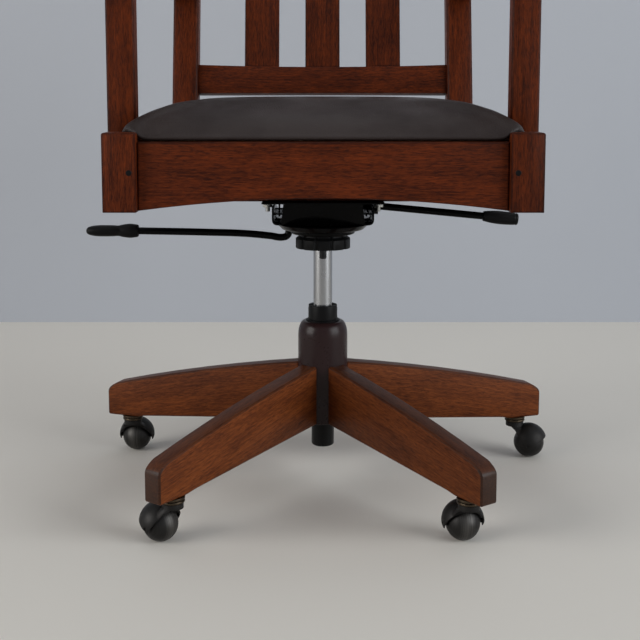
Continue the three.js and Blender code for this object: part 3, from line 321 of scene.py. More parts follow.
def extrude_up(height):
    """Extrude what is selected upright, or down where the height is negative."""
    bpy.ops.mesh.extrude_region_move(TRANSFORM_OT_translate={"value": (0, 0, height)})


def close_shell(weld=0.0):
    """Merge points that meet, turn all faces outwards and leave edit mode."""
    bpy.ops.mesh.select_all(action="SELECT")
    if weld:
        bpy.ops.mesh.remove_doubles(threshold=weld)
    bpy.ops.mesh.normals_make_consistent(inside=False)
    # On a fluted or hollow piece the operator may turn every face inwards, and not in every run.
    if bmesh.from_edit_mesh(bpy.context.object.data).calc_volume(signed=True) < 0:
        bpy.ops.mesh.flip_normals()
    close_edit()


def draw_line(places):
    """Extrude the chosen vertex from place to place."""
    bpy.ops.transform.translate(value=places[0])
    for here, there in zip(places, places[1:]):
        step = tuple(Vector(there) - Vector(here))
        bpy.ops.mesh.extrude_vertices_move(TRANSFORM_OT_translate={"value": step})


def turned(name, profile, steps, centre=(0, 0, 0), sharp=32):
    """Spin a profile of (radius, height) round an upright axis."""
    piece = point_up(name)
    draw_line([(radius, 0, height) for radius, height in profile])
    bpy.ops.mesh.select_all(action="SELECT")
    bpy.ops.mesh.spin(steps=steps, angle=2 * math.pi, center=(0, 0, 0), axis=UPRIGHT)
    close_shell(WELD)
    piece.location = centre
    settle(piece)
    return smooth(piece, sharp)


def face_of(name, corners):
    """A piece that is one face between its corners, open for editing."""
    piece = point_up(name)
    draw_line(corners)
    bpy.ops.mesh.select_all(action="SELECT")
    bpy.ops.mesh.edge_face_add()
    return piece


def raised(name, outline, low, height):
    """A solid raised from an outline in X and Y."""
    piece = face_of(name, [(x, y, low) for x, y in outline])
    extrude_up(height)
    close_shell()
    return piece


def soften(piece, width, sharpness=30):
    """Round the edges that are sharper than an angle in degrees."""
    edit(piece, "EDGE")
    bpy.ops.mesh.edges_select_sharp(sharpness=math.radians(sharpness))
    bpy.ops.mesh.bevel(offset=width, segments=2, profile=0.5, clamp_overlap=True)
    close_edit()
    return piece


def cube_between(name, low, high):
    """A box between two corners, to be shaped or to cut with."""
    low, high = Vector(low), Vector(high)
    return primitive(bpy.ops.mesh.primitive_cube_add, name, size=1, location=(low + high) / 2,
                     scale=high - low)


def bar(name, places, radius, smooth_steps, sides):
    """A bent round bar along a smooth curve through chosen places."""
    clear_selection()
    bpy.ops.curve.primitive_nurbs_path_add()
    path = bpy.context.object
    path.name = path.data.name = name
    path.location = (0, 0, 0)
    data = path.data
    data.splines.clear()
    line = data.splines.new("BEZIER")
    line.bezier_points.add(len(places) - 1)
    for point, place in zip(line.bezier_points, places):
        point.co = place
        point.handle_left_type = point.handle_right_type = "AUTO"
    data.resolution_u = smooth_steps
    data.bevel_depth = radius
    data.bevel_resolution = sides // 4
    data.use_fill_caps = True
    take(path)
    bpy.ops.object.convert(target="MESH")
    piece = bpy.context.object
    edit(piece)
    close_shell(WELD)
    settle(piece)
    return smooth(piece, 50)


def copy_of(piece, name, matrix):
    """A copy of a finished piece with its own mesh, set in place."""
    take(piece)
    bpy.ops.object.duplicate()
    other = bpy.context.object
    other.name = other.data.name = name
    return placed(other, matrix @ other.matrix_world)


def board_of(node, name, width):
    """A copy of a CAD board, welded, its flat faces joined up and its edges rounded."""
    take(frame["nodes"][node])
    bpy.ops.object.duplicate()
    piece = bpy.context.object
    bpy.ops.object.parent_clear(type="CLEAR_KEEP_TRANSFORM")
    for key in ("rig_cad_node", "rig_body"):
        if key in piece:
            del piece[key]
    piece.name = piece.data.name = name
    piece.data.materials.clear()
    edit(piece)
    bpy.ops.mesh.select_all(action="SELECT")
    bpy.ops.mesh.remove_doubles(threshold=1e-5)
    bpy.ops.mesh.dissolve_limited(angle_limit=math.radians(0.4))
    close_edit()
    soften(piece, width, 20)
    return smooth(piece, 40)


def quarter_turn(steps):
    """Angles from nothing to a right angle in equal steps."""
    return [math.pi / 2 * step / steps for step in range(steps + 1)]


def rounded_corner(start, corner, end, steps):
    """Points of a quadratic curve that cuts a corner, the first left out."""
    start, corner, end = Vector(start), Vector(corner), Vector(end)
    shares = [i / steps for i in range(1, steps + 1)]
    return [tuple((1 - t) ** 2 * start + 2 * t * (1 - t) * corner + t**2 * end) for t in shares]


def flowing(places, steps):
    """Pairs along a smooth curve through chosen pairs."""
    ends = [places[0], *places, places[-1]]
    points = [tuple(places[0])]
    for i in range(len(places) - 1):
        a, b, c, d = (Vector(pair) for pair in ends[i:i + 4])
        for step in range(1, steps + 1):
            t = step / steps
            slow, fast = (2 * a - 5 * b + 4 * c - d) * t**2, (3 * b - a - 3 * c + d) * t**3
            points.append(tuple(0.5 * (2 * b + (c - a) * t + slow + fast)))
    return points


def paint(piece, finish):
    """Give a piece one finish all over."""
    piece.data.materials.clear()
    piece.data.materials.append(finish_named(finish))


def fit(piece, body, finish, node=None):
    """Give a piece its finish, seat it on its body and hide the CAD node that it stands for."""
    paint(piece, finish)
    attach(piece, body)
    if node:
        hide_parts(node)


def lay_grain(piece, along, seed, shade=1.0):
    """Store each point's place along, across and through the grain, and its way to the board's sides."""
    along = Vector(along).normalized()
    across = along.cross(UPRIGHT)
    if across.length < 0.2:  # an upright board
        across = along.cross(Vector((0, 1, 0)))
    across.normalize()
    through = along.cross(across)
    box = [Vector(corner) for corner in piece.bound_box]
    middle = sum(box, Vector()) / len(box)
    # Each board is sawn from its own place along the trunk, and to one side of its heart.
    heart = Vector((seed * 0.731 % 1.9, (seed * 0.377 % 1 - 0.5) * 0.05, 0.03 + (seed * 0.531 % 1) * 0.06))
    places = [Vector((co.dot(along), co.dot(across), co.dot(through)))
              for co in (vertex.co - middle for vertex in piece.data.vertices)]
    low, high = (Vector([pick(place[i] for place in places) for i in range(3)]) for pick in (min, max))
    kinds = {"grain": [place + heart for place in places], "to_low": [place - low for place in places],
             "to_high": [high - place for place in places]}
    for name, kept in kinds.items():
        layer = piece.data.attributes.new(name, "FLOAT_VECTOR", "POINT")
        layer.data.foreach_set("vector", [number for place in kept for number in place])
    piece.data.attributes.new("shade", "FLOAT", "POINT").data.foreach_set("value", [shade] * len(places))


def mark_painted_shade(leg, outward):
    """Mark the faces of a leg that get painted shade: its top, nose and end, darkened to stand for the shade
    that falls on them.
    """
    aside = outward.cross(UPRIGHT).normalized()
    # How much painted shade each face gets: none on the sides and underside, some on the top, most on the
    # nose and end.
    bare, top, end, steep = 0.0, 0.6, 1.0, 0.6
    values = []
    for face in leg.data.polygons:
        if abs(face.normal.dot(aside)) > 0.9 or face.normal.z < -steep:
            values.append(bare)
        else:
            values.append(top if face.normal.z > steep else end)
    leg.data.attributes.new("band", "FLOAT", "FACE").data.foreach_set("value", values)


def dress_boards(boards, width, first_seed):
    """Dress the seat's CAD boards, each with the way that its grain runs."""
    for seed, (node, along) in enumerate(boards.items(), first_seed):
        board = board_of(node, f"oak_{node}", width)
        lay_grain(board, along, seed)
        fit(board, "seat", "Seat oak", node)


# Materials


def put(tree, kind, settings=None, inputs=None):
    """Add a node, set it up and wire or fill its inputs."""
    node = tree.nodes.new(kind)
    for key, value in (settings or {}).items():
        setattr(node, key, value)
    for key, value in (inputs or {}).items():
        if isinstance(value, bpy.types.NodeSocket):
            tree.links.new(value, node.inputs[key])
        else:
            node.inputs[key].default_value = value
    return node


def stretched(tree, vector, scale):
    """A vector times another, axis by axis."""
    return put(tree, "ShaderNodeVectorMath", {"operation": "MULTIPLY"}, {0: vector, 1: scale}).outputs[0]


def noise(tree, vector, detail, roughness):
    """Noise from 0 to 1, which repeats about once in each unit."""
    node = put(tree, "ShaderNodeTexNoise", None,
               {"Vector": vector, "Scale": 1.0, "Detail": detail, "Roughness": roughness})
    return node.outputs["Fac"]


def noise_over(tree, vector, repeats, detail=3.0, roughness=0.55):
    """Noise with its own number of repeats in a metre along each axis."""
    return noise(tree, stretched(tree, vector, repeats), detail, roughness)


def ramped(tree, value, low, high, out_low=0.0, out_high=1.0):
    """A value spread from one range over another, kept within it."""
    node = put(tree, "ShaderNodeMapRange", {"clamp": True},
               {"Value": value, "From Min": low, "From Max": high, "To Min": out_low, "To Max": out_high})
    return node.outputs["Result"]


def math_of(tree, operation, a, b):
    """Two values put together by one of Blender's operations."""
    return put(tree, "ShaderNodeMath", {"operation": operation}, {0: a, 1: b}).outputs[0]


def times(tree, a, b):
    """Two values multiplied."""
    return math_of(tree, "MULTIPLY", a, b)


def summed(tree, *parts):
    """The sum of values that are each given with their share."""
    total, *others = [times(tree, value, share) for value, share in parts]
    for other in others:
        total = math_of(tree, "ADD", total, other)
    return total


def mixed(tree, factor, a, b, blend="MIX"):
    """Two colours mixed by a factor. The sockets of a colour mix have the numbers 6 and 7."""
    node = put(tree, "ShaderNodeMix", {"data_type": "RGBA", "blend_type": blend}, {0: factor, 6: a, 7: b})
    return node.outputs[2]


def effect_group(name, inputs, outputs):
    """A shader node group with named inputs and outputs, and its two ends."""
    tree = bpy.data.node_groups.new(name, "ShaderNodeTree")
    for title, kind, default in inputs:
        socket = tree.interface.new_socket(name=title, in_out="INPUT", socket_type=kind)
        if default is not None:
            socket.default_value = default
    for title, kind in outputs:
        tree.interface.new_socket(name=title, in_out="OUTPUT", socket_type=kind)
    return tree, tree.nodes.new("NodeGroupInput"), tree.nodes.new("NodeGroupOutput")


def oak_grain_group():
    """Streaks, growth rings and dark open pores, all drawn out along the board."""
    tree, given, result = effect_group(
        "Oak grain",
        [("Vector", "NodeSocketVector", None), ("Light", "NodeSocketColor", (0.3, 0.08, 0.02, 1)),
         ("Dark", "NodeSocketColor", (0.1, 0.02, 0.01, 1)),
         ("Pores", "NodeSocketColor", (0.02, 0.01, 0.01, 1)),
         ("Pore depth", "NodeSocketFloat", 0.8), ("Streaks", "NodeSocketFloat", 0.5)],
        [("Color", "NodeSocketColor"), ("Roughness", "NodeSocketFloat"), ("Height", "NodeSocketFloat")])
    vector = given.outputs["Vector"]
    wide = stretched(tree, vector, (5, 22, 22))
    drift = put(tree, "ShaderNodeTexNoise", None,
                {"Vector": wide, "Scale": 1.0, "Detail": 3.0}).outputs["Color"]
    bend = put(tree, "ShaderNodeVectorMath", {"operation": "MULTIPLY_ADD"},
               {0: drift, 1: (0, 0.006, 0.006), 2: vector}).outputs[0]
    streaks = noise_over(tree, bend, (64, 440, 440), 3.0, 0.6)
    rings = put(tree, "ShaderNodeTexWave",
                {"wave_type": "RINGS", "rings_direction": "X", "wave_profile": "SAW"},
                {"Vector": stretched(tree, bend, (0.5, 1, 1)), "Scale": 62.0, "Distortion": 3.0,
                 "Detail": 3.0, "Detail Scale": 1.4}).outputs["Fac"]
    patches = noise_over(tree, vector, (12, 60, 60))
    fibres = noise_over(tree, bend, (110, 900, 900), 3.0, 0.65)
    bands = noise_over(tree, bend, (16, 230, 230), 4.0, 0.6)
    tone = summed(tree, (ramped(tree, streaks, 0.34, 0.66), 0.36), (ramped(tree, fibres, 0.36, 0.64), 0.38),
                  (ramped(tree, bands, 0.34, 0.66), 0.28), (rings, 0.2))
    tone = math_of(tree, "ADD", tone, ramped(tree, patches, 0.3, 0.7, -0.3, 0.16))
    tone = ramped(tree, tone, 0.0, 1.0)
    base = mixed(tree, tone, given.outputs["Dark"], given.outputs["Light"])
    pores = ramped(tree, noise_over(tree, bend, (95, 780, 780), 3.0, 0.6), 0.52, 0.64)
    pores = times(tree, pores, given.outputs["Pore depth"])
    coloured = mixed(tree, pores, base, given.outputs["Pores"])
    tree.links.new(coloured, result.inputs["Color"])
    tree.links.new(ramped(tree, streaks, 0.2, 0.8, 0.52, 0.38), result.inputs["Roughness"])
    height = math_of(tree, "SUBTRACT", times(tree, fibres, given.outputs["Streaks"]), pores)
    tree.links.new(height, result.inputs["Height"])
    return tree


def board_edge_group():
    """How near a point of a board is to the nearest of its edges: the middle one of its three ways out."""
    tree, given, result = effect_group(
        "Board edge", [("To low", "NodeSocketVector", None), ("To high", "NodeSocketVector", None),
                       ("Vector", "NodeSocketVector", None)], [("Edge", "NodeSocketFloat")])
    nearer = put(tree, "ShaderNodeVectorMath", {"operation": "MINIMUM"},
                 {0: given.outputs["To low"], 1: given.outputs["To high"]}).outputs[0]
    ways = put(tree, "ShaderNodeSeparateXYZ", None, {0: nearer}).outputs
    smaller = math_of(tree, "MINIMUM", ways[0], ways[1])
    larger = math_of(tree, "MAXIMUM", ways[0], ways[1])
    middle = math_of(tree, "MAXIMUM", smaller, math_of(tree, "MINIMUM", larger, ways[2]))
    wander = noise_over(tree, given.outputs["Vector"], (60, 60, 60))
    reach = math_of(tree, "SUBTRACT", middle, ramped(tree, wander, 0.35, 0.65, 0.0, 0.0018))
    tree.links.new(ramped(tree, reach, 0.0002, 0.0028, 1.0, 0.0), result.inputs["Edge"])
    return tree


def worn_finish_group():
    """Cloudy wear in a finish: a roughness that wanders, fine marks and a little relief."""
    tree, given, result = effect_group(
        "Worn finish",
        [("Vector", "NodeSocketVector", None), ("Scale", "NodeSocketFloat", 40.0),
         ("Smooth", "NodeSocketFloat", 0.3), ("Rough", "NodeSocketFloat", 0.5)],
        [("Roughness", "NodeSocketFloat"), ("Wear", "NodeSocketFloat"), ("Height", "NodeSocketFloat")])
    place = put(tree, "ShaderNodeVectorMath", {"operation": "SCALE"},
                {0: given.outputs["Vector"], "Scale": given.outputs["Scale"]}).outputs[0]
    clouds = noise(tree, place, 5.0, 0.6)
    marks = noise_over(tree, place, (9, 9, 9), 3.0, 0.7)
    amount = ramped(tree, summed(tree, (clouds, 0.7), (marks, 0.3)), 0.35, 0.65)
    spread = math_of(tree, "SUBTRACT", given.outputs["Rough"], given.outputs["Smooth"])
    rough = put(tree, "ShaderNodeMath", {"operation": "MULTIPLY_ADD"},
                {0: amount, 1: spread, 2: given.outputs["Smooth"]}).outputs[0]
    tree.links.new(rough, result.inputs["Roughness"])
    tree.links.new(amount, result.inputs["Wear"])
    tree.links.new(marks, result.inputs["Height"])
    return tree


def leather_grain_group():
    """Pebbled hide with creases, rubbed places and a few scuffs."""
    tree, given, result = effect_group(
        "Leather grain",
        [("Vector", "NodeSocketVector", None), ("Hide", "NodeSocketColor", (0.04, 0.03, 0.03, 1)),
         ("Worn", "NodeSocketColor", (0.08, 0.06, 0.05, 1)), ("Pebble", "NodeSocketFloat", 620.0)],
        [("Color", "NodeSocketColor"), ("Roughness", "NodeSocketFloat"), ("Height", "NodeSocketFloat")])
    vector = given.outputs["Vector"]
    pebbles = put(tree, "ShaderNodeTexVoronoi", {"feature": "SMOOTH_F1"},
                  {"Vector": vector, "Scale": given.outputs["Pebble"], "Smoothness": 0.4}).outputs["Distance"]
    creases = noise_over(tree, vector, (30, 55, 40), 6.0, 0.65)
    rubbed = noise_over(tree, vector, (7, 10, 8), 4.0, 0.6)
    scuffs = noise_over(tree, vector, (38, 120, 60), 5.0, 0.7)
    scuffed = times(tree, ramped(tree, scuffs, 0.64, 0.72), ramped(tree, rubbed, 0.5, 0.62))
    rubbing = ramped(tree, rubbed, 0.4, 0.62, 0.0, 0.75)
    tone = mixed(tree, rubbing, given.outputs["Hide"], given.outputs["Worn"])
    tone = mixed(tree, times(tree, scuffed, 0.4), tone, (0.11, 0.09, 0.082, 1))
    tree.links.new(tone, result.inputs["Color"])
    tree.links.new(ramped(tree, rubbed, 0.38, 0.64, 0.55, 0.36), result.inputs["Roughness"])
    tree.links.new(summed(tree, (pebbles, 0.5), (creases, 0.9)), result.inputs["Height"])
    return tree


def group_tree(name):
    """A shared effect, built the first time that it is asked for."""
    makers = {"Oak grain": oak_grain_group, "Board edge": board_edge_group, "Worn finish": worn_finish_group,
              "Leather grain": leather_grain_group}
    return bpy.data.node_groups.get(name) or makers[name]()


def blank_material(name):
    """A material with a bare Principled shader."""
    material = bpy.data.materials.new(name)
    material.use_nodes = True
    tree = material.node_tree
    return material, tree, tree.nodes["Principled BSDF"]


def relief(tree, shader, height, depth, strength=0.5):
    """Let a height disturb the surface by up to a depth in metres."""
    bump = put(tree, "ShaderNodeBump", None, {"Height": height, "Distance": depth, "Strength": strength})
    tree.links.new(bump.outputs["Normal"], shader.inputs["Normal"])


def opaque(rgb):
    """A colour with a full alpha after it."""
    return (*rgb[:3], 1)


def seen_directly(tree):
    """1 for what the camera sees, straight, in a gloss or through a clear piece, and 0 for stray light."""
    path = put(tree, "ShaderNodeLightPath").outputs
    mirrored = math_of(tree, "MAXIMUM", path["Is Glossy Ray"], path["Is Transmission Ray"])
    return math_of(tree, "MAXIMUM", path["Is Camera Ray"], mirrored)


def attribute_of(tree, name, output="Vector"):
    """What lay_grain, mark_painted_shade or the wheel has stored in its points or faces."""
    return put(tree, "ShaderNodeAttribute", {"attribute_name": name}).outputs[output]


def oak_material(name, light, dark, pores, depth, with_painted_shade=False):
    """Stained oak, with darker edges on boards, or on legs painted shade on the top, nose and end faces under
    a glossier coat.
    """
    material, tree, shader = blank_material(name)
    place = attribute_of(tree, "grain")
    grain = put(tree, "ShaderNodeGroup", {"node_tree": group_tree("Oak grain")},
                {"Vector": place, "Light": opaque(light), "Dark": opaque(dark), "Pores": opaque(pores),
                 "Pore depth": depth})
    tone = stretched(tree, grain.outputs["Color"], attribute_of(tree, "shade"))
    if with_painted_shade:
        # Painted shade: the marked faces are darkened and greyed to stand for the shade and grazing sky sheen
        # on a leg's top, nose and end; the coat over them is a real glossy layer.
        band = attribute_of(tree, "band", "Fac")
        tone = mixed(tree, band, tone, (0.27, 0.3, 0.32, 1), "MULTIPLY")
        tree.links.new(ramped(tree, band, 0.0, 1.0, 0.0, 0.3), shader.inputs["Coat Weight"])
        shader.inputs["Coat Roughness"].default_value = 0.45
    else:
        edge = put(tree, "ShaderNodeGroup", {"node_tree": group_tree("Board edge")},
                   {"To low": attribute_of(tree, "to_low"), "To high": attribute_of(tree, "to_high"),
                    "Vector": place})
        # Darker within a few millimetres of each board's edges.
        worn = times(tree, edge.outputs["Edge"], 0.75)
        tone = mixed(tree, worn, tone, (0.28, 0.24, 0.24, 1), "MULTIPLY")
    shader.inputs["Specular IOR Level"].default_value = 0.12
    tree.links.new(tone, shader.inputs["Base Color"])
    tree.links.new(grain.outputs["Roughness"], shader.inputs["Roughness"])
    relief(tree, shader, grain.outputs["Height"], 0.0002)
    return material


def coated_material(name, rgb, worn, metallic, roughness, clouds, depth, gloss=0.5):
    """Paint, plastic or plating in two colours, with clouds of wear between two roughnesses."""
    material, tree, shader = blank_material(name)
    place = put(tree, "ShaderNodeTexCoord").outputs["Object"]
    wear = put(tree, "ShaderNodeGroup", {"node_tree": group_tree("Worn finish")},
               {"Vector": place, "Scale": clouds, "Smooth": roughness[0], "Rough": roughness[1]})
    tone = mixed(tree, times(tree, wear.outputs["Wear"], 0.5), opaque(rgb), opaque(worn))
    tree.links.new(tone, shader.inputs["Base Color"])
    tree.links.new(wear.outputs["Roughness"], shader.inputs["Roughness"])
    shader.inputs["Metallic"].default_value = metallic
    shader.inputs["Specular IOR Level"].default_value = gloss
    relief(tree, shader, wear.outputs["Height"], depth)
    return material


def wheel_material(name, rgb, band_colour):
    """The wheels' metal, lighter in a band round the middle of the tread."""
    dulled = [share * 0.7 for share in rgb[:3]]
    material = coated_material(name, rgb, dulled, 0.8, (0.4, 0.55), 70, 0.00005, 0.3)
    tree = material.node_tree
    shader = tree.nodes["Principled BSDF"]
    base = shader.inputs["Base Color"].links[0].from_socket
    tread = attribute_of(tree, "tread", "Fac")
    way = put(tree, "ShaderNodeMath", {"operation": "ABSOLUTE"}, {0: tread}).outputs[0]
    # Noise breaks the lighter band into streaks.
    lines = noise_over(tree, attribute_of(tree, "tread"), (11, 11, 11))
    worn = ramped(tree, lines, 0.35, 0.62, 0.15, 1.0)
    mask = times(tree, ramped(tree, way, 0.12, 0.5, 1.0, 0.1), worn)
    tree.links.new(mixed(tree, mask, base, opaque(band_colour)), shader.inputs["Base Color"])
    return material


def leather_material(name, hide, worn):
    """Dark hide with a grain that stands out, rubbed paler in places."""
    material, tree, shader = blank_material(name)
    place = put(tree, "ShaderNodeTexCoord").outputs["Object"]
    grain = put(tree, "ShaderNodeGroup", {"node_tree": group_tree("Leather grain")},
                {"Vector": place, "Hide": opaque(hide), "Worn": opaque(worn)})
    tree.links.new(grain.outputs["Color"], shader.inputs["Base Color"])
    tree.links.new(grain.outputs["Roughness"], shader.inputs["Roughness"])
    shader.inputs["Specular IOR Level"].default_value = 0.22
    relief(tree, shader, grain.outputs["Height"], 0.0008, 0.8)
    return material


def plywood_material(name):
    """Pale plywood with faint streaks."""
    material, tree, shader = blank_material(name)
    place = put(tree, "ShaderNodeTexCoord").outputs["Object"]
    streaks = noise_over(tree, place, (160, 9, 160), 4.0)
    tone = mixed(tree, ramped(tree, streaks, 0.3, 0.7), (0.42, 0.27, 0.13, 1), (0.62, 0.45, 0.26, 1))
    tree.links.new(tone, shader.inputs["Base Color"])
    shader.inputs["Roughness"].default_value = 0.75
    relief(tree, shader, streaks, 0.0003)
    return material


def finish_named(name):
    """A material of the chair, made the first time that it is asked for."""
    if name in bpy.data.materials:
        return bpy.data.materials[name]
    tones = bpy.context.scene.chair_finishes
    # The tube's black is the black paint at twice its brightness: painted light, making up for the shade that
    # the tube stands in. Its satin roughness is its own.
    lightened_black = [2 * share for share in tones.black_paint[:3]]
    makers = {
        "Seat oak": lambda: oak_material(name, tones.oak_light, tones.oak_dark, tones.oak_pores, 0.6),
        # The legs' oak carries painted shade on their top, nose and end faces.
        "Leg oak": lambda: oak_material(name, tones.leg_light, tones.leg_dark, tones.oak_pores, 0.45, True),
        "Leather": lambda: leather_material(name, tones.leather, tones.leather_worn),
        "Plywood": lambda: plywood_material(name),
        "Worn wheel": lambda: wheel_material(name, tones.gunmetal, (0.105, 0.1, 0.094)),
    }
    # Colour, worn colour, metallic, roughness from and to, clouds in a metre, depth of marks, gloss.
    coats = {
        "Hub paint": (tones.hub_paint, (0.024, 0.0115, 0.0115), 0.0, (0.24, 0.34), 30, 0.00006, 0.2),
        "Black paint": (tones.black_paint, (0.003, 0.003, 0.0032), 0.0, (0.12, 0.2), 45, 0.00003, 0.07),
        "Satin black": (lightened_black, (0.0055, 0.005, 0.005), 0.0, (0.26, 0.36), 45, 0.00004, 0.18),
        "Black plastic": (tones.black_plastic, (0.007, 0.007, 0.0075), 0.0, (0.36, 0.5), 60, 0.0001, 0.1),
        "Satin chrome": (tones.chrome, (0.33, 0.33, 0.34), 1.0, (0.2, 0.3), 25, 0.00002),
        "Dark steel": ((0.06, 0.06, 0.063), (0.04, 0.034, 0.03), 1.0, (0.34, 0.5), 60, 0.00004),
        "Zinc": (tones.zinc, (0.36, 0.35, 0.33), 1.0, (0.28, 0.46), 80, 0.00004),
        "Gunmetal": (tones.gunmetal, (0.026, 0.024, 0.022), 0.8, (0.42, 0.6), 70, 0.00005, 0.3),
        "Aged brass": (tones.brass, (0.03, 0.024, 0.018), 1.0, (0.28, 0.5), 120, 0.00006),
    }
    return makers[name]() if name in makers else coated_material(name, *coats[name])


# Pieces


class CHAIR_OT_make_legs(Operator):
    """Five oak legs with rounded edges."""

    bl_idname = "chair.make_legs"
    bl_label = "Legs"

    def execute(self, context):
        width = context.scene.chair_base.leg_round
        fall = -0.16  # how steeply the grain runs down to the foot
        for seed, (place, shade) in enumerate(CASTERS.items(), FIRST_SEED["legs"]):
            node = f"leg_{place}"
            leg = board_of(node, f"oak_{node}", width)
            low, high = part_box(node)
            outward = (low + high) / 2 - COLUMN
            lay_grain(leg, (outward.x, outward.y, fall * outward.length), seed, shade)
            # Painted shade on the leg's top, nose and end faces.
            mark_painted_shade(leg, outward)
            fit(leg, "base", "Leg oak", node)
        return {"FINISHED"}


class CHAIR_OT_make_column(Operator):
    """The painted hub, the column tube, its notched collar and the gas cylinder."""

    bl_idname = "chair.make_column"
    bl_label = "Hub and column"

    def execute(self, context):
        sizes = context.scene.chair_base
        self.hub(sizes)
        self.tube(sizes)
        self.collar(sizes)
        self.cylinder(sizes)
        inside = {"piston_rod": "Satin chrome", "thrust_bearing": "Dark steel", "valve_button": "Dark steel"}
        for node, finish in inside.items():
            paint(frame["nodes"][node], finish)
        return {"FINISHED"}

    def hub(self, sizes):
        """A sleeve with a rounded shoulder, bored wide for the tube and narrow for its end."""
        bottom, top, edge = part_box("hub")[0].z, sizes.hub_top, 0.0008
        wide, narrow = sizes.tube_radius + GAP, sizes.tube_end_radius + GAP
        run, rise = sizes.hub_radius - sizes.hub_mouth, top - sizes.hub_shoulder
        profile = [(narrow, bottom), (sizes.hub_radius - edge, bottom), (sizes.hub_radius, bottom + edge)]
        for angle in quarter_turn(14):
            out, up = run * math.cos(angle), rise * math.sin(angle)
            profile.append((sizes.hub_mouth + out, sizes.hub_shoulder + up))
        profile += [(wide, top), (wide, top - 0.02), (narrow, top - 0.06), (narrow, bottom)]
        hub = turned("hub_sleeve", profile, 96, COLUMN)
        fit(hub, "base", "Hub paint", "hub")

    def tube(self, sizes):
        """A hollow tube, swaged to a narrow end with a rounded rim and a sunk floor."""
        low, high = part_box("column_tube")
        end, wide = sizes.tube_end_radius, sizes.tube_radius
        rim, sunk, floor, edge = 0.0035, low.z + 0.0015, low.z + 0.003, 0.0006
        bore, narrow_bore = wide - 0.002, end - 0.0025
        swage_low, swage_high, inside = 0.1, 0.128, 0.002
        profile = [(0, sunk), (end - 0.006, sunk), (end - 0.0055, low.z), (end - rim, low.z)]
        for angle in quarter_turn(6)[1:]:
            profile.append((end - rim + rim * math.sin(angle), low.z + rim * (1 - math.cos(angle))))
        profile += [(end, swage_low), (wide, swage_high), (wide, high.z - edge), (wide - edge, high.z),
                    (bore, high.z), (bore, swage_high + inside), (narrow_bore, swage_low + inside),
                    (narrow_bore, floor), (0, floor)]
        tube = turned("column_tube_skin", profile, 72, COLUMN)
        # Satin black, lightened as painted light for the shade that the tube stands in.
        fit(tube, "base", "Satin black", "column_tube")

    def collar(self, sizes):
        """A guide bush with a lip on the tube, notched across its top."""
        low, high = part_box("column_collar")
        bore = sizes.cylinder_radius + 0.00025
        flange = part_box("column_tube")[1].z + GAP
        outer, top = sizes.collar_radius, high.z
        lip = (high.x - low.x) / 2
        profile = [
            (bore, low.z), (outer, low.z), (outer, flange), (lip - 0.0005, flange), (lip, flange + 0.0005),
            (lip, flange + 0.002), (lip - 0.0006, flange + 0.0026), (outer, flange + 0.003),
            (outer, top - 0.0015), (outer - 0.0004, top - 0.0004), (outer - 0.0014, top),
            (bore + 0.003, top), (bore, top - 0.003), (bore, low.z),
        ]
        collar = turned("guide_collar", profile, 72, COLUMN)
        half, deep, beyond = 0.0045, 0.005, 0.04
        notch = cube_between("notch", COLUMN + Vector((-beyond, -half, top - deep)),
                             COLUMN + Vector((beyond, half, top + 2 * deep)))
        carve(collar, notch)
        smooth(collar, 32)
        fit(collar, "base", "Black plastic", "column_collar")

    def cylinder(self, sizes):
        """A hollow cylinder with the rod's gland below and the valve's bore above."""
        low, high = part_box("gas_cylinder")
        r, edge = sizes.cylinder_radius, 0.001
        bore, chamber, cap, gland = r - 0.0018, high.z - 0.056, low.z + 0.004, 0.0054
        valve, stop = 0.0038, high.z - 0.0145
        profile = [(0, chamber), (bore, chamber), (bore, cap), (gland, cap), (gland, low.z),
                   (r - edge, low.z), (r, low.z + edge), (r, high.z - 0.006), (r - 0.0005, high.z),
                   (valve, high.z), (valve, stop), (0, stop)]
        cylinder = turned("gas_cylinder_skin", profile, 72, COLUMN)
        fit(cylinder, "carrier", "Satin chrome", "gas_cylinder")


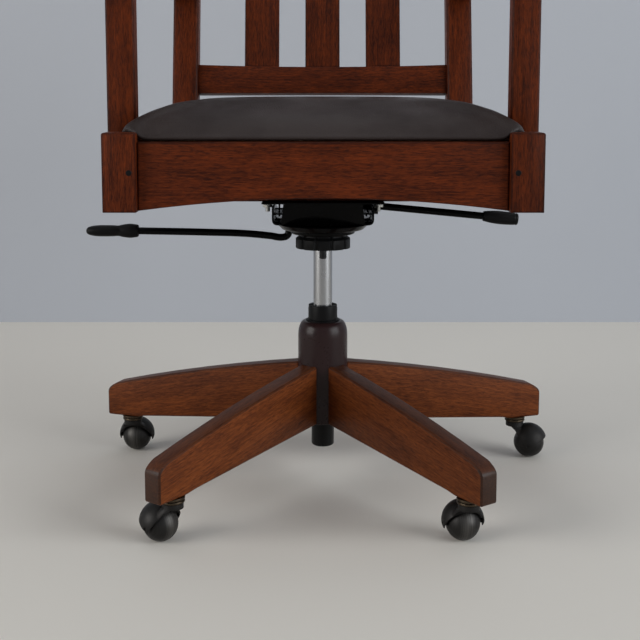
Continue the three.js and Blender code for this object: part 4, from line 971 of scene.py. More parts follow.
class CHAIR_OT_make_casters(Operator):
    """Five hooded ball casters with ball races on their stems."""

    bl_idname = "chair.make_casters"
    bl_label = "Casters"

    def execute(self, context):
        sizes = context.scene.chair_base
        stem, race, hood, wheel = self.stem(), self.race(sizes), self.hood(sizes), self.wheel(sizes)
        for place in CASTERS:
            caster = f"caster_{place}"
            low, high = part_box(f"{caster}_stem")
            foot = Vector(((low.x + high.x) / 2, (low.y + high.y) / 2, 0))
            low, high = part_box(f"{caster}_wheel")
            heading = (low + high) / 2 - foot
            seat = Matrix.Translation(foot) @ Matrix.Rotation(math.atan2(heading.y, heading.x), 4, "Z")
            for pattern, name, body, slot, finish, node in (
                (stem, "stem", "base", "antique_brass", "Aged brass", f"{caster}_stem"),
                (race, "race_balls", "base", "antique_brass", "Aged brass", None),
                (hood, "hood", caster, "gunmetal", "Gunmetal", f"{caster}_hood"),
                (wheel, "ball_wheel", f"{caster}_roller", "gunmetal", "Worn wheel", f"{caster}_wheel"),
            ):
                fit(copy_of(pattern, f"{name}_{place}", seat), body, finish, node)
        for pattern in (stem, race, hood, wheel):
            bpy.data.objects.remove(pattern)
        return {"FINISHED"}

    def stem(self):
        """The stem over the two rings of its ball race."""
        profile = [
            (0, 0.0524), (0.004, 0.0524), (0.004, 0.0577), (0.0146, 0.0577), (0.0156, 0.0582),
            (0.0158, 0.0596), (0.0154, 0.0606), (0.0136, 0.0607), (0.0122, 0.0609), (0.0122, 0.0617),
            (0.0136, 0.0619), (0.0156, 0.0621), (0.016, 0.0627), (0.016, 0.0643), (0.0154, 0.0651),
            (0.0055, 0.0652), (0.0055, 0.1), (0.0045, 0.1012), (0, 0.1012),
        ]
        return turned("stem", profile, 48)

    def race(self, sizes):
        """The balls that show between the two rings."""
        radius, out, height = 0.00095, 0.0137, 0.0613
        balls = self.ball("race", radius, (out, 0, height), 10, 7)
        edit(balls)
        bpy.ops.mesh.select_all(action="SELECT")
        bpy.ops.mesh.spin(steps=sizes.race_balls, dupli=True, angle=2 * math.pi, center=(0, 0, 0),
                          axis=UPRIGHT)
        bpy.ops.mesh.select_all(action="SELECT")
        bpy.ops.mesh.remove_doubles(threshold=WELD)
        close_edit()
        return smooth(balls, 60)

    def ball(self, name, radius, centre, segments=56, rings=36):
        """A ball for the race, or for the hood and its hollow."""
        return primitive(bpy.ops.mesh.primitive_uv_sphere_add, name, segments=segments, ring_count=rings,
                         radius=radius, location=centre)

    def ring(self, name, **values):
        """A circle of the hood's neck, with the ball's number of points."""
        return primitive(bpy.ops.mesh.primitive_circle_add, name, vertices=56, **values)

    def neck(self, sizes, middle):
        """The wedge between the disc under the race and the ball of the hood."""
        top, foot, reach, edge = 0.0574, 0.05, 0.014, 0.0009
        tilt = math.atan2(top - middle.z, sizes.trail) - math.pi / 2
        ring = self.ring("ring", radius=sizes.hood_radius - 0.0014, location=middle, rotation=(0, tilt, 0))
        neck = self.ring("neck", radius=reach, location=(0, 0, foot))
        joined(neck, ring)
        edit(neck, "EDGE")
        bpy.ops.mesh.select_all(action="SELECT")
        bpy.ops.mesh.bridge_edge_loops()
        choose(neck, "edges", lambda e: all(abs(v.co.z - foot) < 1e-5 and v.co.xy.length < reach + 1e-4
                                            for v in e.verts))
        for height in (top - foot - edge, edge):
            bpy.ops.mesh.extrude_edges_move(TRANSFORM_OT_translate={"value": (0, 0, height)})
        bpy.ops.transform.resize(value=(0.94, 0.94, 1), center_override=(0, 0, 0))
        bpy.ops.mesh.edge_face_add()
        choose(neck, "edges", lambda e: e.is_boundary)
        bpy.ops.mesh.edge_face_add()
        close_shell()
        return neck

    def cheek_tip(self, sizes):
        """How far forward of the stem and how high the tips of the cheeks are."""
        return sizes.trail - 0.003, sizes.wheel_radius - sizes.cheek_drop

    def mouth(self, sizes):
        """A block that opens the front, from the cheeks' tips up to the underside of the disc."""
        tip, floor = self.cheek_tip(sizes)
        disc, beyond = 0.0499, 0.04
        outline = [(tip, floor), (0.002, sizes.hood_arch), (-0.0042, disc), (-beyond, disc),
                   (-beyond, -beyond), (tip, -beyond)]
        block = raised("mouth", outline, 0, 2 * beyond)
        return placed(block, Matrix.Translation((0, beyond, 0)) @ Matrix.Rotation(math.pi / 2, 4, "X"))

    def below(self, sizes, slope):
        """A block that cuts away all that is below a slope through the tips of the cheeks."""
        tip, floor = self.cheek_tip(sizes)
        reach = 0.08
        cutter = cube_between("below", (-reach, -reach, -reach), (reach, reach, 0))
        return placed(cutter, Matrix.Translation((tip, 0, floor))
                      @ Matrix.Rotation(math.radians(slope), 4, "Y"))

    def rod(self, radius, reach, place, turn=(math.pi / 2, 0, 0)):
        """A round rod of a half length, across the caster or turned, to cut with or to join."""
        return primitive(bpy.ops.mesh.primitive_cylinder_add, "rod", vertices=40, radius=radius,
                         depth=2 * reach, rotation=turn, location=place)

    def hood(self, sizes):
        """A ball with two pointed cheeks, open between them in front, and a wedge up to the race."""
        middle = Vector((sizes.trail, 0, sizes.wheel_radius + sizes.hood_rise))
        axle_place = Vector((sizes.trail, 0, sizes.wheel_radius))
        stem_hole, axle, dimple, sunk = 0.0043, 0.003, 0.0024, 0.0004
        shell = self.ball("hood", sizes.hood_radius, middle)
        carve(shell, self.neck(sizes, middle), operation="UNION")
        inner = sizes.hood_radius - sizes.hood_wall
        stem_reach, stem_height = 0.0155, sizes.wheel_radius + 0.0215
        bore = self.rod(stem_hole, stem_reach, (0, 0, stem_height), (0, 0, 0))
        carve(shell, self.ball("hollow", inner, middle), self.mouth(sizes), self.below(sizes, -30), bore)
        carve(shell, self.rod(axle, inner, axle_place), operation="UNION")
        reach = 0.01
        for side in SIDES.values():
            place = axle_place + Vector((0, side * (inner - sunk + reach), 0))
            carve(shell, self.rod(dimple, reach, place))
        apply_modifier(shell, "BEVEL", width=0.0003, segments=2, limit_method="ANGLE",
                       angle_limit=math.radians(40))
        return smooth(shell, 38)

    def wheel(self, sizes):
        """A ball with flat ends and a bore, which knows how far each point is from its middle."""
        r, half, bore, widest = sizes.wheel_radius, 0.0226, 0.0033, 74
        end = half * math.sin(math.radians(widest))
        profile = [(bore, -end)]
        steps = 10
        for step in range(-steps, steps + 1):
            angle = math.radians(widest * step / steps)
            profile.append((r * math.cos(angle), half * math.sin(angle)))
        profile += [(bore, end), (bore, -end)]
        wheel = turned("wheel", profile, 64, sharp=30)
        tread = wheel.data.attributes.new("tread", "FLOAT", "POINT")
        tread.data.foreach_set("value", [vertex.co.z / half for vertex in wheel.data.vertices])
        return placed(wheel, Matrix.Translation((sizes.trail, 0, r)) @ Matrix.Rotation(math.pi / 2, 4, "X"))


class CHAIR_OT_make_mechanism(Operator):
    """The control pan with its dish, the knob, the bolt, the spring and the seat plate."""

    bl_idname = "chair.make_mechanism"
    bl_label = "Tilt mechanism"

    def execute(self, context):
        sizes = context.scene.chair_mechanism
        low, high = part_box("tension_bolt")
        self.bolt_place = Vector(((low.x + high.x) / 2, (low.y + high.y) / 2, 0))
        self.pan(sizes)
        self.knob(sizes)
        self.bolt(sizes)
        self.spring(sizes)
        self.studs(sizes)
        self.plate()
        self.bush()
        self.axle()
        return {"FINISHED"}

    def plate(self):
        """The seat plate, its front flange a little wider and lower than the packed one."""
        plate = board_of("seat_plate", "seat_plate_pressing", 0.0005)
        edit(plate)
        flange, wider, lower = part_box("seat_plate")[0].y + 0.003, 0.0028, 0.0016
        inside, outside, under, low_edge = 0.045, 0.057, 0.418, 0.407
        for side in SIDES.values():
            choose(plate, "verts", lambda v: v.co.y < flange and inside < side * v.co.x < outside
                   and v.co.z < under)
            bpy.ops.transform.translate(value=(side * wider, 0, 0))
        choose(plate, "verts", lambda v: v.co.y < flange and v.co.z < low_edge)
        bpy.ops.transform.translate(value=(0, 0, -lower))
        close_edit()
        fit(plate, "seat", "Black paint", "seat_plate")

    def bush(self):
        """The bush that takes the top of the gas cylinder."""
        low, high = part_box("socket_bush")
        bore, outer, edge = 0.0143, 0.019, 0.0012
        bush = turned("socket_collar", [
            (bore, low.z), (outer - edge, low.z), (outer, low.z + edge), (outer, high.z), (bore, high.z),
            (bore, low.z)], 64, COLUMN)
        fit(bush, "carrier", "Black paint", "socket_bush")

    def pan(self, sizes):
        """The pressed channel, with a stepped dish in place of its plain one."""
        channel = board_of("control_pan", "control_pan_pressing", 0.0004)
        edit(channel, "FACE")
        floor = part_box("control_pan")[0].z
        rim = 0.3968  # height where the dish meets the channel
        r, bore, step = sizes.dish_radius, 0.0395, 0.045
        choose(channel, "faces", lambda f: f.calc_center_median().z < rim - 0.0008
               and (f.calc_center_median() - self.bolt_place).xy.length < r + 0.001)
        bpy.ops.mesh.delete(type="FACE")
        close_edit()
        dish = turned("dish", [
            (bore, rim), (bore, floor), (step - 0.0012, floor), (step, floor + 0.001),
            (step + 0.0004, 0.3872), (step + 0.0014, 0.388), (r - 0.006, 0.3882), (r - 0.002, 0.3892),
            (r, 0.3912), (r + 0.0045, rim - 0.0012), (r + 0.005, rim - 0.0006), (r + 0.0045, rim),
            (bore, rim)], 96, self.bolt_place)
        joined(channel, dish)
        smooth(channel, 35)
        fit(channel, "carrier", "Black paint", "control_pan")

    def knob(self, sizes):
        """A fluted grip under a narrower neck, hollow from above and recessed below."""
        low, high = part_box("tension_knob")
        grip, shoulder, hollow, recess = 0.0133, 0.0034, 0.0156, 0.0015
        hollow_radius, recess_edge, per_flute = 0.0265, 0.008, 16
        knob = primitive(bpy.ops.mesh.primitive_circle_add, "tension_knob_moulding",
                         vertices=per_flute * sizes.knob_flutes, radius=sizes.knob_radius, fill_type="NGON",
                         location=(0, 0, low.z))
        edit(knob)
        for offset, share in ((0, 0.94), (1, 0.952), (per_flute - 1, 0.952)):
            choose(knob, "verts", lambda v: v.index % per_flute == offset)
            bpy.ops.transform.resize(value=(share, share, 1), center_override=(0, 0, 0))
        choose(knob, "faces", lambda f: True)
        extrude_up(grip)
        extrude_up(shoulder)
        share = sizes.knob_neck / sizes.knob_radius
        bpy.ops.transform.resize(value=(share, share, 1), center_override=(0, 0, 0))
        extrude_up(high.z - low.z - grip - shoulder)
        bpy.ops.mesh.inset(thickness=sizes.knob_neck - hollow_radius)
        extrude_up(-hollow)
        choose(knob, "faces", lambda f: f.calc_center_median().z < low.z + 0.0002 and len(f.verts) > 8)
        bpy.ops.mesh.inset(thickness=recess_edge)
        extrude_up(recess)
        close_shell()
        soften(knob, 0.0006, 40)
        turn = 0.82 * 2 * math.pi / sizes.knob_flutes - math.pi / 2
        placed(knob, Matrix.Translation(self.bolt_place) @ Matrix.Rotation(turn, 4, "Z"))
        smooth(knob, 45)
        fit(knob, "knob", "Black plastic", "tension_knob")

    def bolt(self, sizes):
        """A screw with a ring for each turn of its thread, and a flat head that widens upwards."""
        low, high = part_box("tension_bolt")
        r, pitch, threaded, head, edge = sizes.bolt_radius, sizes.thread_pitch, 0.024, 0.0094, 0.0005
        root = r - 0.0007
        profile = [(0, low.z), (r - 0.0012, low.z), (r - 0.0006, low.z + edge)]
        height = low.z + 0.0008
        while height < low.z + threaded:
            profile += [(r, height + 0.15 * pitch), (r, height + 0.35 * pitch),
                        (root, height + 0.75 * pitch), (root, height + 0.9 * pitch)]
            height += pitch
        profile += [(r, height + pitch), (r, 0.4165), (head, 0.4205), (head, high.z - edge),
                    (head - edge, high.z), (0, high.z)]
        bolt = turned("tension_bolt_screw", profile, 40, self.bolt_place)
        fit(bolt, "bolt", "Dark steel", "tension_bolt")

    def spring(self, sizes):
        """A coil that narrows upwards, seated in the carrier. It is built rigid, though in the chair the seat
        presses it together as it tilts.
        """
        wire = sizes.spring_wire / 2
        turns, low, high = 5, 0.3675 + wire, 0.4106 - wire
        widest, narrowing, points = 0.0205, 0.0065, 12 * turns
        places = []
        for i in range(points + 1):
            t = i / points
            radius, angle = widest - narrowing * t, 2 * math.pi * turns * t
            around = (radius * math.cos(angle), radius * math.sin(angle))
            places.append(self.bolt_place + Vector((*around, low + (high - low) * t)))
        spring = bar("coil_spring", places, wire, 2, 12)
        fit(spring, "carrier", "Dark steel", "tension_spring")
        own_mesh(spring)

    def axle(self):
        """The tilt axle: a pin between two flat heads, with a threaded tail on the right."""
        low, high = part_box("tilt_axle")
        pin, head, tail, edge, rise = 0.005, 0.0065, 0.0046, 0.0005, 0.0004
        face, wall, root, pitch = -low.x, -low.x - 0.0012, tail - 0.0005, 0.00125
        profile = [(0, -face), (head - edge, -face), (head, rise - face), (head, -wall), (pin, -wall),
                   (pin, wall), (head, wall), (head, face - rise), (head - edge, face), (tail, face)]
        along = face + 0.0006
        while along < high.x - 0.0016:
            profile += [(tail, along + 0.0003), (root, along + 0.0007), (root, along + 0.0009)]
            along += pitch
        profile += [(tail, along), (tail, high.x - edge), (tail - 0.0006, high.x), (0, high.x)]
        axle = turned("tilt_pin", profile, 40)
        middle = (low + high) / 2
        placed(axle, Matrix.Translation((0, middle.y, middle.z)) @ Matrix.Rotation(math.pi / 2, 4, "Y"))
        fit(axle, "carrier", "Dark steel", "tilt_axle")

    def studs(self, sizes):
        """Zinc studs and nuts that hold the seat plate to the mounting board."""
        low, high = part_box("seat_plate")
        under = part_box("mounting_board")[0].z - GAP - sizes.sheet
        shank, end = sizes.stud_radius, under - 0.0125
        stud = turned("stud", [(0, end), (shank - 0.0006, end), (shank, end + 0.0007),
                               (shank, under - 0.0055), (shank, under), (0, under)], 24)
        nut = primitive(bpy.ops.mesh.primitive_cylinder_add, "nut", vertices=6, radius=sizes.nut_radius,
                        depth=0.0048, location=(0, 0, under - 0.0038))
        soften(nut, 0.0005)
        face, back = under - 0.0013, under - 0.0002
        washer = turned("washer", [(shank, face), (0.0078, face), (0.0079, back), (shank, back),
                                   (shank, face)], 40)
        joined(stud, smooth(nut, 25), washer)
        aside, ahead, behind = 0.0074, 0.027, 0.025
        places = [(x, y) for x in (low.x + aside, high.x - aside) for y in (low.y + ahead, high.y - behind)]
        for number, (x, y) in enumerate(places):
            piece = copy_of(stud, f"plate_stud_{number + 1}", Matrix.Translation((x, y, 0)))
            fit(piece, "seat", "Zinc")
        bpy.data.objects.remove(stud)


class CHAIR_OT_make_levers(Operator):
    """The lift lever and the lock lever with their moulded handles."""

    bl_idname = "chair.make_levers"
    bl_label = "Levers"

    lift_side, lock_side = COLUMN.y - 0.012, COLUMN.y - 0.015  # how far back each lever lies
    fall = math.radians(5.47)  # how steeply the lift lever falls outwards
    lock_grip_x, lock_grip_z = -0.2714, 0.3776  # where the lock lever's grip starts

    def execute(self, context):
        r = context.scene.chair_mechanism.lever_radius
        self.lift_bar(r)
        self.lock_bar(r)
        self.capsule()
        self.paddle()
        return {"FINISHED"}

    def lift_height(self, x):
        """Height of the lift lever's straight run."""
        return 0.4139 - math.tan(self.fall) * (x - 0.082)

    def lift_bar(self, r):
        """The right lever, from over the valve button out to its grip."""
        y = self.lift_side
        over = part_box("valve_button")[1].z + 0.0006 + r
        places = [(r / 2, y + 2 * r, over), (0.019, y + r, over + 0.0003),
                  (0.051, y, self.lift_height(0.07) - 0.0006)]
        places += [(x, y, self.lift_height(x)) for x in (0.07, 0.0873, 0.159, 0.239)]
        lift = bar("lift_lever_bar", places, r, 12, 24)
        fit(lift, "lift_lever", "Black paint", "lift_lever")

    def lock_bar(self, r):
        """The left lever, bent down out of the pan and up again to its grip."""
        y, root, top, low, bend = self.lock_side, -0.05, 0.403, 0.3682, 0.0085
        places = [(root, y, top), (root, y, 0.3963), (root, y, low + bend),
                  (root - 0.29 * bend, y, low + 0.29 * bend), (root - bend, y, low)]
        out, up = self.lock_grip_x - root, self.lock_grip_z - low
        shares = ((0.126, 0.22), (0.225, 0.46), (0.325, 0.62), (0.525, 0.76), (0.725, 0.87))
        places += [(root + x * out, y, low + z * up) for x, z in shares]
        places.append((self.lock_grip_x - 0.003, y, self.lock_grip_z))
        lock = bar("lock_lever_bar", places, r, 12, 24)
        fit(lock, "lock_lever", "Black paint", "lock_lever")

    def capsule(self):
        """The lift lever's grip: barrelled, grooved lengthwise, with a seam ring near its blunt end."""
        radius, run, start, bore, deep = 0.0098, 0.0515, 0.236, 0.0056, 0.0033
        steps, grooves, groove_share = 60, 12, 0.945
        skin = flowing([(0.74, 0.012), (0.88, 0.16), (0.98, 0.36), (1, 0.52), (0.96, 0.75), (0.9, 0.9)], 5)
        skin += [(0.85, 0.912), (0.85, 0.922), (0.895, 0.934), (0.88, 0.965), (0.8, 0.99), (0.66, 1), (0, 1)]
        profile = [(0, deep), (bore, deep), (bore, 0), (0.0068, 0)]
        profile += [(radius * wide, run * along) for wide, along in skin]
        grip = turned("lift_lever_handle", profile, steps, sharp=40)
        edit(grip)
        spoke = 2 * math.pi / steps
        choose(grip, "verts", lambda v: 0.1 * run < v.co.z < 0.88 * run and v.co.xy.length > 0.5 * radius
               and round(math.atan2(v.co.y, v.co.x) / spoke) % (steps // grooves) == 0)
        bpy.ops.transform.resize(value=(groove_share, groove_share, 1), center_override=(0, 0, 0))
        close_edit()
        placed(grip, Matrix.Translation((start, self.lift_side, self.lift_height(start)))
               @ Matrix.Rotation(self.fall, 4, "Y") @ Matrix.Rotation(math.pi / 2, 4, "Y"))
        fit(grip, "lift_lever", "Black plastic", "lift_lever_grip")

    def paddle(self):
        """The lock lever's ferrule, waist and flat oval paddle, moulded as one."""
        radius, run = 0.0105, 0.028
        lie = Matrix.Rotation(math.pi / 2, 4, "Y")  # from upright to along the lever
        skin = flowing([(0.84, 0.02), (0.9, 0.1), (1, 0.38), (0.98, 0.56), (0.87, 0.85), (0.76, 1)], 4)
        profile = [(0, 0), (radius * 0.82, 0)] + [(radius * wide, run * along) for wide, along in skin]
        profile += [(radius * 0.74, run + 0.004), (0, run + 0.004)]
        handle = placed(turned("lock_lever_handle", profile, 48, sharp=40), lie)
        skin = flowing([(0.8, 0), (0.97, 0.2), (1, 0.45), (0.98, 0.65), (0.87, 0.82), (0.66, 0.94),
                        (0.36, 1)], 4)
        oval = turned("oval", [(0, 0), *skin, (0, 1.004)], 48, sharp=40)
        half_size = Matrix.Diagonal((0.051, 0.011, 0.0084, 1))  # length, and half the width and depth
        placed(oval, Matrix.Translation((run - 0.0024, 0, 0)) @ half_size @ lie)
        carve(handle, oval, operation="UNION")
        apply_modifier(handle, "REMESH", mode="VOXEL", voxel_size=0.0008)
        apply_modifier(handle, "SMOOTH", factor=0.6, iterations=6)
        grip = (self.lock_grip_x, self.lock_side, self.lock_grip_z)
        placed(handle, Matrix.Translation(grip) @ Matrix.Rotation(math.pi, 4, "Z"))
        smooth(handle, 60)
        fit(handle, "lock_lever", "Black plastic", "lock_lever_grip")


class CHAIR_OT_make_seat_frame(Operator):
    """The oak rails, blocks and boards under the seat, with their plugs."""

    bl_idname = "chair.make_seat_frame"
    bl_label = "Seat frame"

    def execute(self, context):
        sizes = context.scene.chair_seat
        boards = {
            "front_rail": (1, 0, 0), "back_rail": (1, 0, 0), "front_cross_rail": (1, 0, 0),
            "back_cross_rail": (1, 0, 0), "mounting_board": (1, 0, 0), "left_side_rail": (0.07, 1, 0),
            "right_side_rail": (-0.07, 1, 0),
        }
        dress_boards(boards, sizes.board_round, FIRST_SEED["rails"])
        paint(frame["nodes"]["seat_deck"], "Plywood")
        for seed, side in enumerate(SIDES, FIRST_SEED["blocks"]):
            self.front_block(f"{side}_front_block", sizes, seed)
        self.plugs(sizes)
        return {"FINISHED"}

    def front_block(self, node, sizes, seed):
        """A square block whose top edges are rounded over and whose other edges are nearly sharp."""
        low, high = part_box(node)
        outer, shade = (low, 1.05) if node.startswith("left") else (high, 0.8)
        outer.x -= math.copysign(sizes.block_trim, outer.x)
        low.z += 0.0008  # clear of what is under it
        block = cube_between(f"oak_{node}", low, high)
        edit(block, "EDGE")
        choose(block, "edges", lambda e: all(v.co.z > high.z - 0.0001 for v in e.verts))
        bpy.ops.mesh.bevel(offset=sizes.block_top_round, segments=4, profile=0.5)
        close_edit()
        soften(block, sizes.block_round, 40)
        smooth(block, 40)
        lay_grain(block, UPRIGHT, seed, shade)
        fit(block, "seat", "Seat oak", node)

    def plugs(self, sizes):
        """A dark plug in the face of each front block."""
        r, depth, height = sizes.plug_radius, 0.002, 0.479
        profile = [(0, -depth), (r, -depth), (r, 0.0001), (r - 0.0005, 0.0005), (0, 0.0006)]
        for side, x in (("left", -0.244), ("right", 0.2446)):
            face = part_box(f"{side}_front_block")[0].y
            plug = turned(f"plug_{side}", profile, 32)
            placed(plug, Matrix.Translation((x, face, height)) @ Matrix.Rotation(math.pi / 2, 4, "X"))
            fit(plug, "seat", "Black plastic")


class CHAIR_OT_make_arms_and_back(Operator):
    """The arm posts, arms, back posts, rails and slats."""

    bl_idname = "chair.make_arms_and_back"
    bl_label = "Arms and back"

    def execute(self, context):
        width = context.scene.chair_seat.board_round
        rake = math.radians(12)
        lean = (0, math.sin(rake), math.cos(rake))
        boards = {"lower_back_rail": (1, 0, 0), "crest_rail": (1, 0, 0)}
        for number in (1, 2, 3):
            boards[f"back_slat_{number}"] = lean
        for side, sign in SIDES.items():
            boards[f"{side}_arm_post"] = (0, 0, 1)
            boards[f"{side}_arm"] = (-0.08 * sign, 1, 0)
            boards[f"{side}_back_post"] = lean
        dress_boards(boards, width, FIRST_SEED["upper"])
        return {"FINISHED"}


class CHAIR_OT_make_cushion(Operator):
    """The crowned leather pad, notched round the blocks and arm posts and swelled as cloth."""

    bl_idname = "chair.make_cushion"
    bl_label = "Leather pad"

    raised_by = 0.03  # thickness of the pad before it gets its crown

    def execute(self, context):
        sizes = context.scene.chair_seat
        pad = self.blank(sizes)
        self.swell(pad, sizes)
        apply_modifier(pad, "SUBSURF", levels=1, render_levels=1)
        smooth(pad, 80)
        fit(pad, "seat", "Leather", "seat_cushion")
        return {"FINISHED"}

    def half_width(self, sizes, y, front, back):
        """Half of the pad's width at a depth between its front and its back."""
        widening = sizes.pad_half_back - sizes.pad_half_front
        return sizes.pad_half_front + widening * (y - front) / (back - front)

    def outline(self, sizes):
        """The pad's plan as (x, y), from the left front corner round to the left again."""
        low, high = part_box("seat_cushion")
        pulled_in = 0.001
        front, back = low.y + pulled_in, high.y - pulled_in
        r = sizes.pad_corner
        block_low, block_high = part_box("right_front_block")
        post_low, post_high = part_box("right_arm_post")
        gap = sizes.pad_clearance

        def half(y):
            return self.half_width(sizes, y, front, back) - pulled_in

        block_x, block_y = block_low.x - gap, block_high.y + gap
        post_x, post_front, post_back = post_low.x - gap, post_low.y - gap, post_high.y + gap
        right = [(0, front), (block_x, front), (block_x, block_y), (half(block_y), block_y),
                 (half(post_front), post_front), (post_x, post_front), (post_x, post_back),
                 (half(post_back), post_back), (half(back - r), back - r)]
        right += rounded_corner((half(back - r), back - r), (half(back), back), (half(back) - r, back), 5)
        right.append((0, back))
        left = [(-x, y) for x, y in reversed(right[1:-1])]
        return right + left

    def blank(self, sizes):
        """The pad before it swells: its plan raised, with a lobe over each front block, then crowned."""
        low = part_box("seat_cushion")[0].z
        pad = raised("leather_pad", self.outline(sizes), low, self.raised_by)
        block_low, block_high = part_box("right_front_block")
        past = 0.002
        for side in SIDES.values():
            lobe = primitive(bpy.ops.mesh.primitive_cylinder_add, "lobe", vertices=48, radius=1, depth=1)
            lobe.location = (side * (block_low.x + past), block_high.y + past, low + 0.021)
            lobe.scale = (0.0225, 0.03, 0.018)  # half its width, half its depth, and its height
            joined(pad, settle(lobe))
        apply_modifier(pad, "REMESH", mode="VOXEL", voxel_size=0.0055)
        self.crown(pad, sizes)
        apply_modifier(pad, "SMOOTH", factor=0.5, iterations=10)
        return pad

    def crown(self, pad, sizes):
        """Raise the top from a thin edge to its crown, by how far in from the edge each point lies."""
        low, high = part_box("seat_cushion")
        block_low, block_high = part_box("right_front_block")
        front, back = low.y, high.y
        full = sizes.pad_crown - sizes.pad_swell * 0.6 - low.z
        edge, rounding, least = 0.011, 0.034, 0.001
        past, lobe_x, lobe_y, lobe_foot = 0.002, 0.0255, 0.033, 0.4
        ledge, thinnest = block_high.z - 0.003 - low.z, 0.002  # underside of the lobes and their thickness
        for vertex in pad.data.vertices:
            x, y = vertex.co.x, vertex.co.y
            half = self.half_width(sizes, y, front, back)
            across, along = max(least, half - abs(x)), max(least, min(y - front, back - y))
            inward = (across**-3 + along**-3) ** (-1 / 3)
            height = edge + (full - edge) * (1 - math.exp(-inward / rounding))
            up = (vertex.co.z - low.z) / self.raised_by
            aside, ahead = (abs(x) - block_low.x - past) / lobe_x, (y - block_high.y - past) / lobe_y
            if aside > -0.1 and ahead < 0 and aside**2 + ahead**2 < 1 and up > lobe_foot - 0.04:
                over = max(0, up - lobe_foot) / (1 - lobe_foot)
                vertex.co.z = low.z + ledge + over * max(thinnest, height - ledge)
            else:
                vertex.co.z = low.z + up * height
        pad.data.update()

    def swell(self, pad, sizes):
        """Blow the pad up a little as cloth, and keep how far each point moves within bounds."""
        start = [vertex.co.copy() for vertex in pad.data.vertices]
        held_up_to = min(place.z for place in start) + 0.006
        take(pad)
        group = pad.vertex_groups.new(name="held")
        group.add([i for i, place in enumerate(start) if place.z < held_up_to], 1.0, "REPLACE")
        bpy.ops.object.modifier_add(type="CLOTH")
        cloth = pad.modifiers[-1]
        cloth.settings.use_pressure = True
        cloth.settings.uniform_pressure_force = 4
        cloth.settings.effector_weights.gravity = 0
        cloth.settings.vertex_group_mass = "held"
        cloth.settings.tension_stiffness = cloth.settings.compression_stiffness = 40
        cloth.settings.bending_stiffness = 2
        scene, steps = bpy.context.scene, 20
        for step in range(1, steps + 1):
            scene.frame_set(step)
        bpy.ops.object.modifier_apply(modifier=cloth.name)
        for vertex, place in zip(pad.data.vertices, start):
            move = vertex.co - place
            if move.length > sizes.pad_swell:
                vertex.co = place + move * (sizes.pad_swell / move.length)
        pad.data.update()
        scene.frame_set(1)


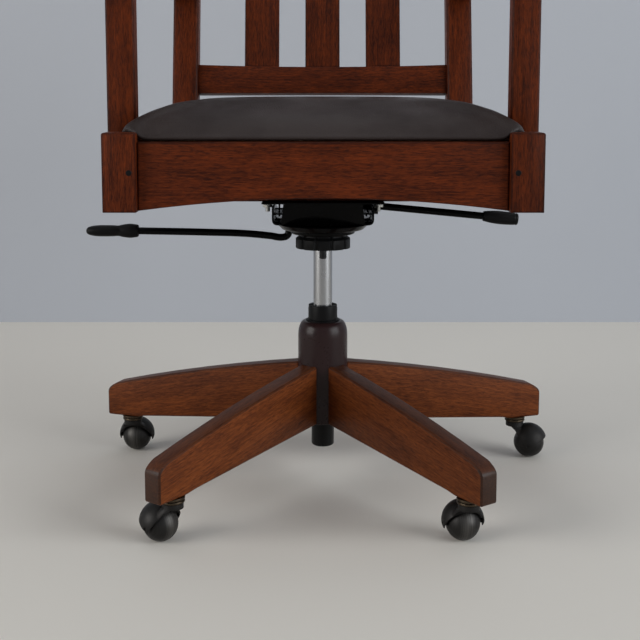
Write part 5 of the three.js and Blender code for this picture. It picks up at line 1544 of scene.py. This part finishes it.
class CHAIR_OT_make_stage(Operator):
    """The floor and backdrop, the soft lights and the camera."""

    bl_idname = "chair.make_stage"
    bl_label = "Stage"

    def execute(self, context):
        stage = context.scene.chair_stage
        self.backdrop(stage)
        self.lights(context)
        self.camera(context, stage)
        context.scene.view_settings.view_transform = "Standard"
        return {"FINISHED"}

    def plain(self, name, rgb, bounced):
        """A plain surface that looks paler to the camera than it lights the chair."""
        material, tree, shader = blank_material(name)
        dimmed = opaque([share * bounced for share in rgb[:3]])
        tree.links.new(mixed(tree, seen_directly(tree), dimmed, opaque(rgb)), shader.inputs["Base Color"])
        shader.inputs["Roughness"].default_value = 0.7
        shader.inputs["Specular IOR Level"].default_value = 0.2
        return material

    def backdrop(self, stage):
        """The floor, and a wall that faces the camera."""
        wall, far, tall = COLUMN.y + stage.wall_distance, 6, 4
        sheet = face_of("floor", [(-far, -far, 0), (far, -far, 0), (far, wall, 0), (-far, wall, 0)])
        bpy.ops.mesh.normals_make_consistent(inside=False)
        close_edit()
        sheet.data.materials.append(self.plain("Pale floor", stage.floor_colour, 0.75))
        back = face_of("wall", [(-far, wall, 0), (far, wall, 0), (far, wall, tall), (-far, wall, tall)])
        close_edit()
        if back.data.polygons[0].normal.y > 0:  # turned away from the camera
            back.data.flip_normals()
        back.data.materials.append(self.open_behind(self.plain("Pale wall", stage.wall_colour, 0.85)))

    def open_behind(self, material):
        """Make a wall that is looked through from its far side, so that the chair's back can be seen."""
        tree = material.node_tree
        behind = put(tree, "ShaderNodeNewGeometry").outputs["Backfacing"]
        clear = put(tree, "ShaderNodeBsdfTransparent").outputs[0]
        both = put(tree, "ShaderNodeMixShader", None,
                   {0: behind, 1: tree.nodes["Principled BSDF"].outputs[0], 2: clear}).outputs[0]
        tree.links.new(both, tree.nodes["Material Output"].inputs["Surface"])
        return material

    def lights(self, context):
        """A pale sky and three soft lamps, each aimed at the middle of the chair."""
        world = context.scene.world or bpy.data.worlds.new("World")
        context.scene.world = world
        world.use_nodes = True
        tree = world.node_tree
        sky = tree.nodes["Background"]
        sky.inputs["Color"].default_value = (0.93, 0.96, 1, 1)
        tree.links.new(ramped(tree, seen_directly(tree), 0, 1, 0.1, 0.4), sky.inputs["Strength"])
        aimed_at = COLUMN + Vector((0, 0, 0.4))
        lamps = (  # place, size, power and tint
            ("window_left", (-4.6, -2.3, 1.9), (3.2, 3.0), 148, (1, 0.98, 0.95)),
            ("window_right", (4.6, -2.6, 2.0), (3.6, 3.2), 194, (0.95, 0.98, 1)),
            ("ceiling", (0.2, -0.3, 3.4), (3.6, 3.0), 17, (1, 1, 1)),
        )
        for name, place, (width, height), power, tint in lamps:
            clear_selection()
            bpy.ops.object.light_add(type="AREA", location=place)
            lamp = bpy.context.object
            lamp.name = name
            lamp.data.shape = "RECTANGLE"
            lamp.data.size, lamp.data.size_y = width, height
            lamp.data.energy = power
            lamp.data.color = tint
            aim = aimed_at - Vector(place)
            lamp.rotation_euler = aim.to_track_quat("-Z", "Y").to_euler()

    def camera(self, context, stage):
        """A camera in front of the chair that looks down a little, with its frame shifted."""
        clear_selection()
        place = (stage.eye_side, COLUMN.y - stage.eye_distance, stage.eye_height)
        bpy.ops.object.camera_add(location=place, rotation=(math.pi / 2 - stage.pitch, 0, 0))
        camera = bpy.context.object
        camera.data.sensor_fit = "HORIZONTAL"
        camera.data.sensor_width = 36
        camera.data.lens = stage.lens
        camera.data.shift_y = stage.frame_rise
        camera.data.clip_start, camera.data.clip_end = 0.05, 50
        context.scene.camera = camera


STEPS = (
    CHAIR_OT_make_stage,
    CHAIR_OT_make_legs,
    CHAIR_OT_make_column,
    CHAIR_OT_make_casters,
    CHAIR_OT_make_mechanism,
    CHAIR_OT_make_levers,
    CHAIR_OT_make_seat_frame,
    CHAIR_OT_make_arms_and_back,
    CHAIR_OT_make_cushion,
)


class CHAIR_PT_builder(Panel):
    """Lists the chair's operators and sizes."""

    bl_idname = "CHAIR_PT_builder"
    bl_label = "Swivel chair"
    bl_space_type = "VIEW_3D"
    bl_region_type = "UI"
    bl_category = "Chair"

    def draw(self, context):
        layout = self.layout
        for step in STEPS:
            layout.operator(step.bl_idname)
        for name, kind in SETTINGS.items():
            box = layout.box()
            box.label(text=kind.__doc__)
            for key in kind.__annotations__:
                box.prop(getattr(context.scene, name), key)


def register():
    """Register the settings, the operators and the panel."""
    for name, kind in SETTINGS.items():
        bpy.utils.register_class(kind)
        setattr(bpy.types.Scene, name, PointerProperty(type=kind))
    for kind in (*STEPS, CHAIR_PT_builder):
        bpy.utils.register_class(kind)


def unregister():
    """Take the settings, the operators and the panel away again."""
    for kind in (CHAIR_PT_builder, *reversed(STEPS)):
        bpy.utils.unregister_class(kind)
    for name, kind in SETTINGS.items():
        delattr(bpy.types.Scene, name)
        bpy.utils.unregister_class(kind)


def main():
    """Register everything and build the chair step by step."""
    register()
    for step in STEPS:
        group, operator = step.bl_idname.split(".")
        getattr(getattr(bpy.ops, group), operator)()


if __name__ == "__main__":
    main()
